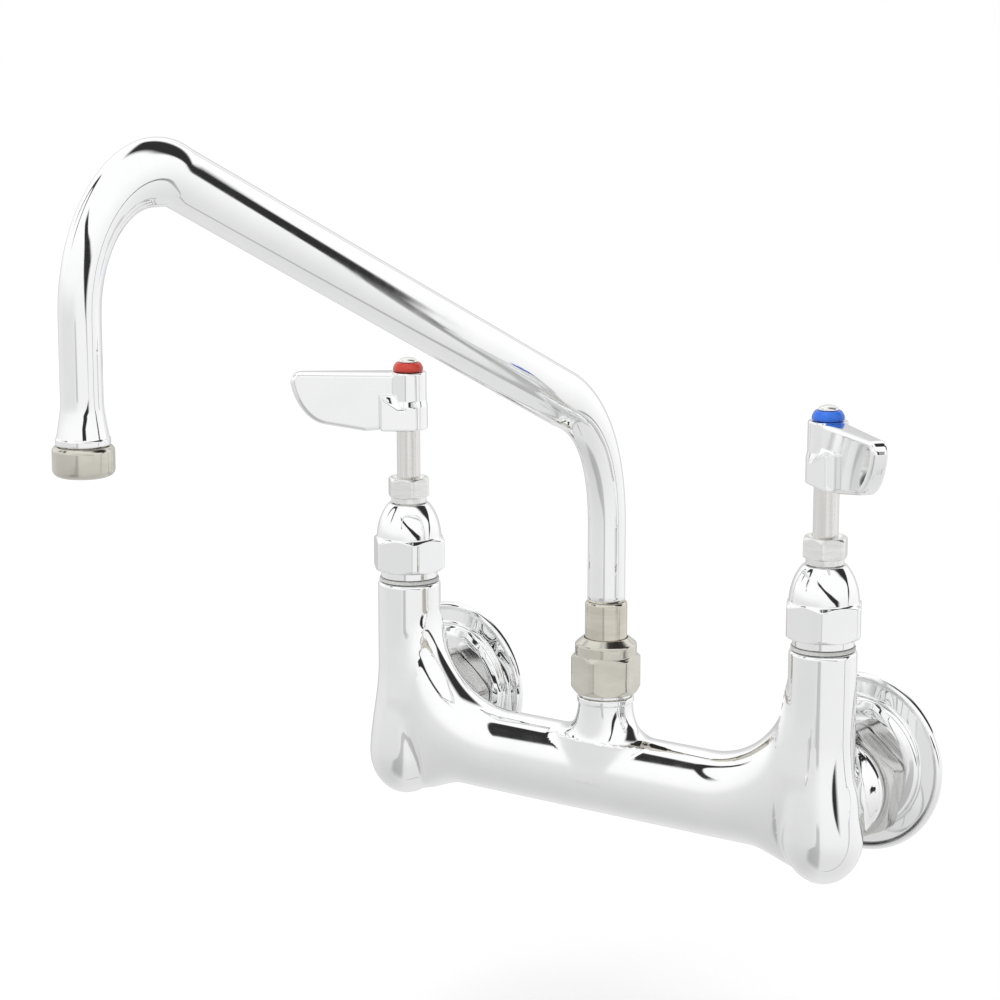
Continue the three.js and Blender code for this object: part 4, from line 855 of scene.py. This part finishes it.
# ---- Spout tube -----------------------------------------------------------------------------
# One drawn brass tube, bent twice and chromed. It is round where it stands and oval along the
# level arm. Its foot is brazed in the sleeve, and its end is upset into a lip with a thread below.

# It stands 15 degrees to the left of straight out.
SPOUT_TURN = math.radians(270 - 15)
SPOUT_REACH = 244
ARM_PITCH = math.radians(28.8)
ARM_OVAL = 0.624
TUBE_FOOT = 55.1
TUBE_END = 163.6
TUBE_WALL = 1.6


def tube_line(steps):
    """Centre line in the spout's own plane as (out, up), and the direction along it."""
    foot, end = np.array([0, TUBE_FOOT]), np.array([SPOUT_REACH, TUBE_END])
    arm = np.array([math.cos(ARM_PITCH), math.sin(ARM_PITCH)])
    corner = np.array([0, 127.9])
    bend_start, bend_end = np.array([0, 85.9]), corner + 26 * arm
    turnover = corner + arm * 202 / arm[0]
    drop_start = np.array([SPOUT_REACH, 192])
    line = np.concatenate([
        foot[None],
        np.linspace(foot, bend_start, steps[0] + 1)[1:],
        curve([bend_start, corner, bend_end], steps[1]),
        np.linspace(bend_end, turnover, steps[2] + 1)[1:],
        curve([turnover, turnover + 21 * arm, (SPOUT_REACH, 227.7), drop_start], steps[3]),
        np.linspace(drop_start, end, steps[4] + 1)[1:],
    ])
    ahead = np.gradient(line, axis=0)
    ahead[0] = (0, 1)
    ahead[-1] = (0, -1)
    return line, ahead / np.linalg.norm(ahead, axis=1, keepdims=True)


def tube_rings(line, ahead, inset, angles):
    """Oval rings square to the line: their height is the width times 1 plus ARM_OVAL times the
    square of how level the line runs there."""
    wide = 7.7 - 0.1 * np.clip(line[:, 0] / SPOUT_REACH, 0, 1)
    tall = wide * (1 + ARM_OVAL * ahead[:, 0] ** 2) - inset
    wide = wide - inset
    up = tall[:, None] * np.cos(angles)
    out = line[:, :1] - ahead[:, 1:] * up
    level = line[:, 1:] + ahead[:, :1] * up
    return np.stack([out, -wide[:, None] * np.sin(angles), level], axis=-1)


def end_rings(profile, out, facing, angles):
    """Round rings of a turned end at a distance out, in the same order round as the tube's rings."""
    radius, level = np.asarray(profile, dtype=float).T
    side = radius[:, None] * np.cos(angles) * -facing
    return np.stack([out + side, -radius[:, None] * np.sin(angles), level[:, None] + 0 * side], axis=-1)


around = np.linspace(0, 2 * np.pi, 97)[:-1]
line, ahead = tube_line((12, 40, 60, 70, 16))
foot_profile = [(5.0, 40.8), (6.9, 40.8), (6.9, TUBE_FOOT), (7.7, TUBE_FOOT)]
foot_profile = softened(foot_profile, [0.2, 0.4, 0.1, 0.3], False)[0]
lip_profile = [
    (7.6, TUBE_END), (7.75, 160.6), (8.3, 156.6), (9.0, 152.8), (9.4, 150.6), (9.8, 150.2), (9.8, 148.4),
    (9.5, 147.9), (8.6, 147.9), (8.6, 143.5), (6.0, 143.5), (6.0, TUBE_END),
]
lip_profile = softened(lip_profile, [0, 1.4, 1.6, 1.0, 0.3, 0.3, 0.3, 0.2, 0.2, 0.3, 0.2, 0], False)[0]
rings = np.concatenate([
    end_rings(foot_profile, 0, 1, around)[:-1],
    tube_rings(line, ahead, 0, around),
    end_rings(lip_profile, SPOUT_REACH, -1, around)[1:-1],
    tube_rings(line[::-1], ahead[::-1], TUBE_WALL, around),
])
out, beside, level = rings[..., 0], rings[..., 1], rings[..., 2]
cosine, sine = math.cos(SPOUT_TURN), math.sin(SPOUT_TURN)
tube_points = np.stack([out * cosine - beside * sine, out * sine + beside * cosine, level], axis=-1) + swivel
tube_faces = grid_faces(tube_points.shape[0], tube_points.shape[1], True)
tube_chrome = polished_chrome("polished_tube_chrome", 0.025, 0.065, 4e-6)
add_piece("bent_tube", tube_points.reshape(-1, 3) * MM, tube_faces, tube_chrome, "spout",
          "spout_tube")

# ---- Outlet ring and flow straightener ------------------------------------------------------
# The outlet ring, satin nickel on brass, is screwed on the spout's end. It holds a moulded disc
# with seven holes and the rubber washer above it.
outlet = (SPOUT_REACH * cosine, -WALL_GAP + SPOUT_REACH * sine, DATUM)
OUTLET_RADIUS, OUTLET_CORNER, OUTLET_BOTTOM = 11.1, 2.6, 136.8
rounding = [
    (OUTLET_RADIUS - OUTLET_CORNER * (1 - math.sin(t)), OUTLET_BOTTOM + OUTLET_CORNER * (1 - math.cos(t)))
    for t in np.linspace(0, np.pi / 2, 7)
]
outline = [
    (7.4, OUTLET_BOTTOM), *rounding, (OUTLET_RADIUS, 146.4), (10.2, 147.6), (8.9, 147.6), (8.9, 139.4),
    (7.4, 139.4),
]
add_turned("outlet_ring_turned", outline, [0.3] + [0.0] * 7 + [0.4, 0.4, 0.3, 0.2, 0.2], outlet,
           satin_nickel.material, "spout", "outlet_ring")

# ---- Parts inside ---------------------------------------------------------------------------
# Seats, washers, packings and rings that only show when the tap is taken apart. Their solids
# have the right shape, and each gets its own finish: turned brass, black rubber, white plastic.
brass = Finish("turned_brass", (0.56, 0.38, 0.12, 1), 1.0, 0.32)
brass.rough(brass.grain((200, 200, 1500)), 0.22, 0.42)
brass.tint(brass.grain((300, 300, 300)), (0.48, 0.32, 0.10, 1), (0.64, 0.46, 0.17, 1))
brass.relief(brass.grain((200, 200, 2600)), 3e-6)
rubber = Finish("black_rubber", (0.02, 0.02, 0.02, 1), 0.0, 0.7)
rubber.rough(rubber.grain((900, 900, 900)), 0.6, 0.85)
rubber.tint(rubber.grain((500, 500, 500)), (0.012, 0.012, 0.012, 1), (0.035, 0.035, 0.036, 1))
rubber.relief(rubber.grain((3000, 3000, 3000)), 1e-5)
white_moulding = Finish("white_moulding", (0.78, 0.76, 0.72, 1), 0.0, 0.5)
white_moulding.rough(white_moulding.grain((900, 900, 900)), 0.42, 0.6)
white_moulding.tint(white_moulding.grain((250, 250, 250)), (0.74, 0.72, 0.67, 1), (0.82, 0.80, 0.76, 1))
white_moulding.relief(white_moulding.grain((2500, 2500, 2500)), 5e-6)
inside = {
    "seat": brass, "gland_washer": brass, "washer_screw": brass, "union_tail": brass,
    "seat_washer": rubber, "union_washer": rubber, "stem_packing": white_moulding,
}
finishes = {f"{label}_{part}": finish for part, finish in inside.items() for label in ("hot", "cold")}
finishes.update(o_ring_lower=rubber, o_ring_upper=rubber, outlet_washer=rubber,
                slip_washer=white_moulding, flow_straightener=white_moulding)
for name, finish in finishes.items():
    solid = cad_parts[name]
    solid.data.materials.clear()
    solid.data.materials.append(finish.material)
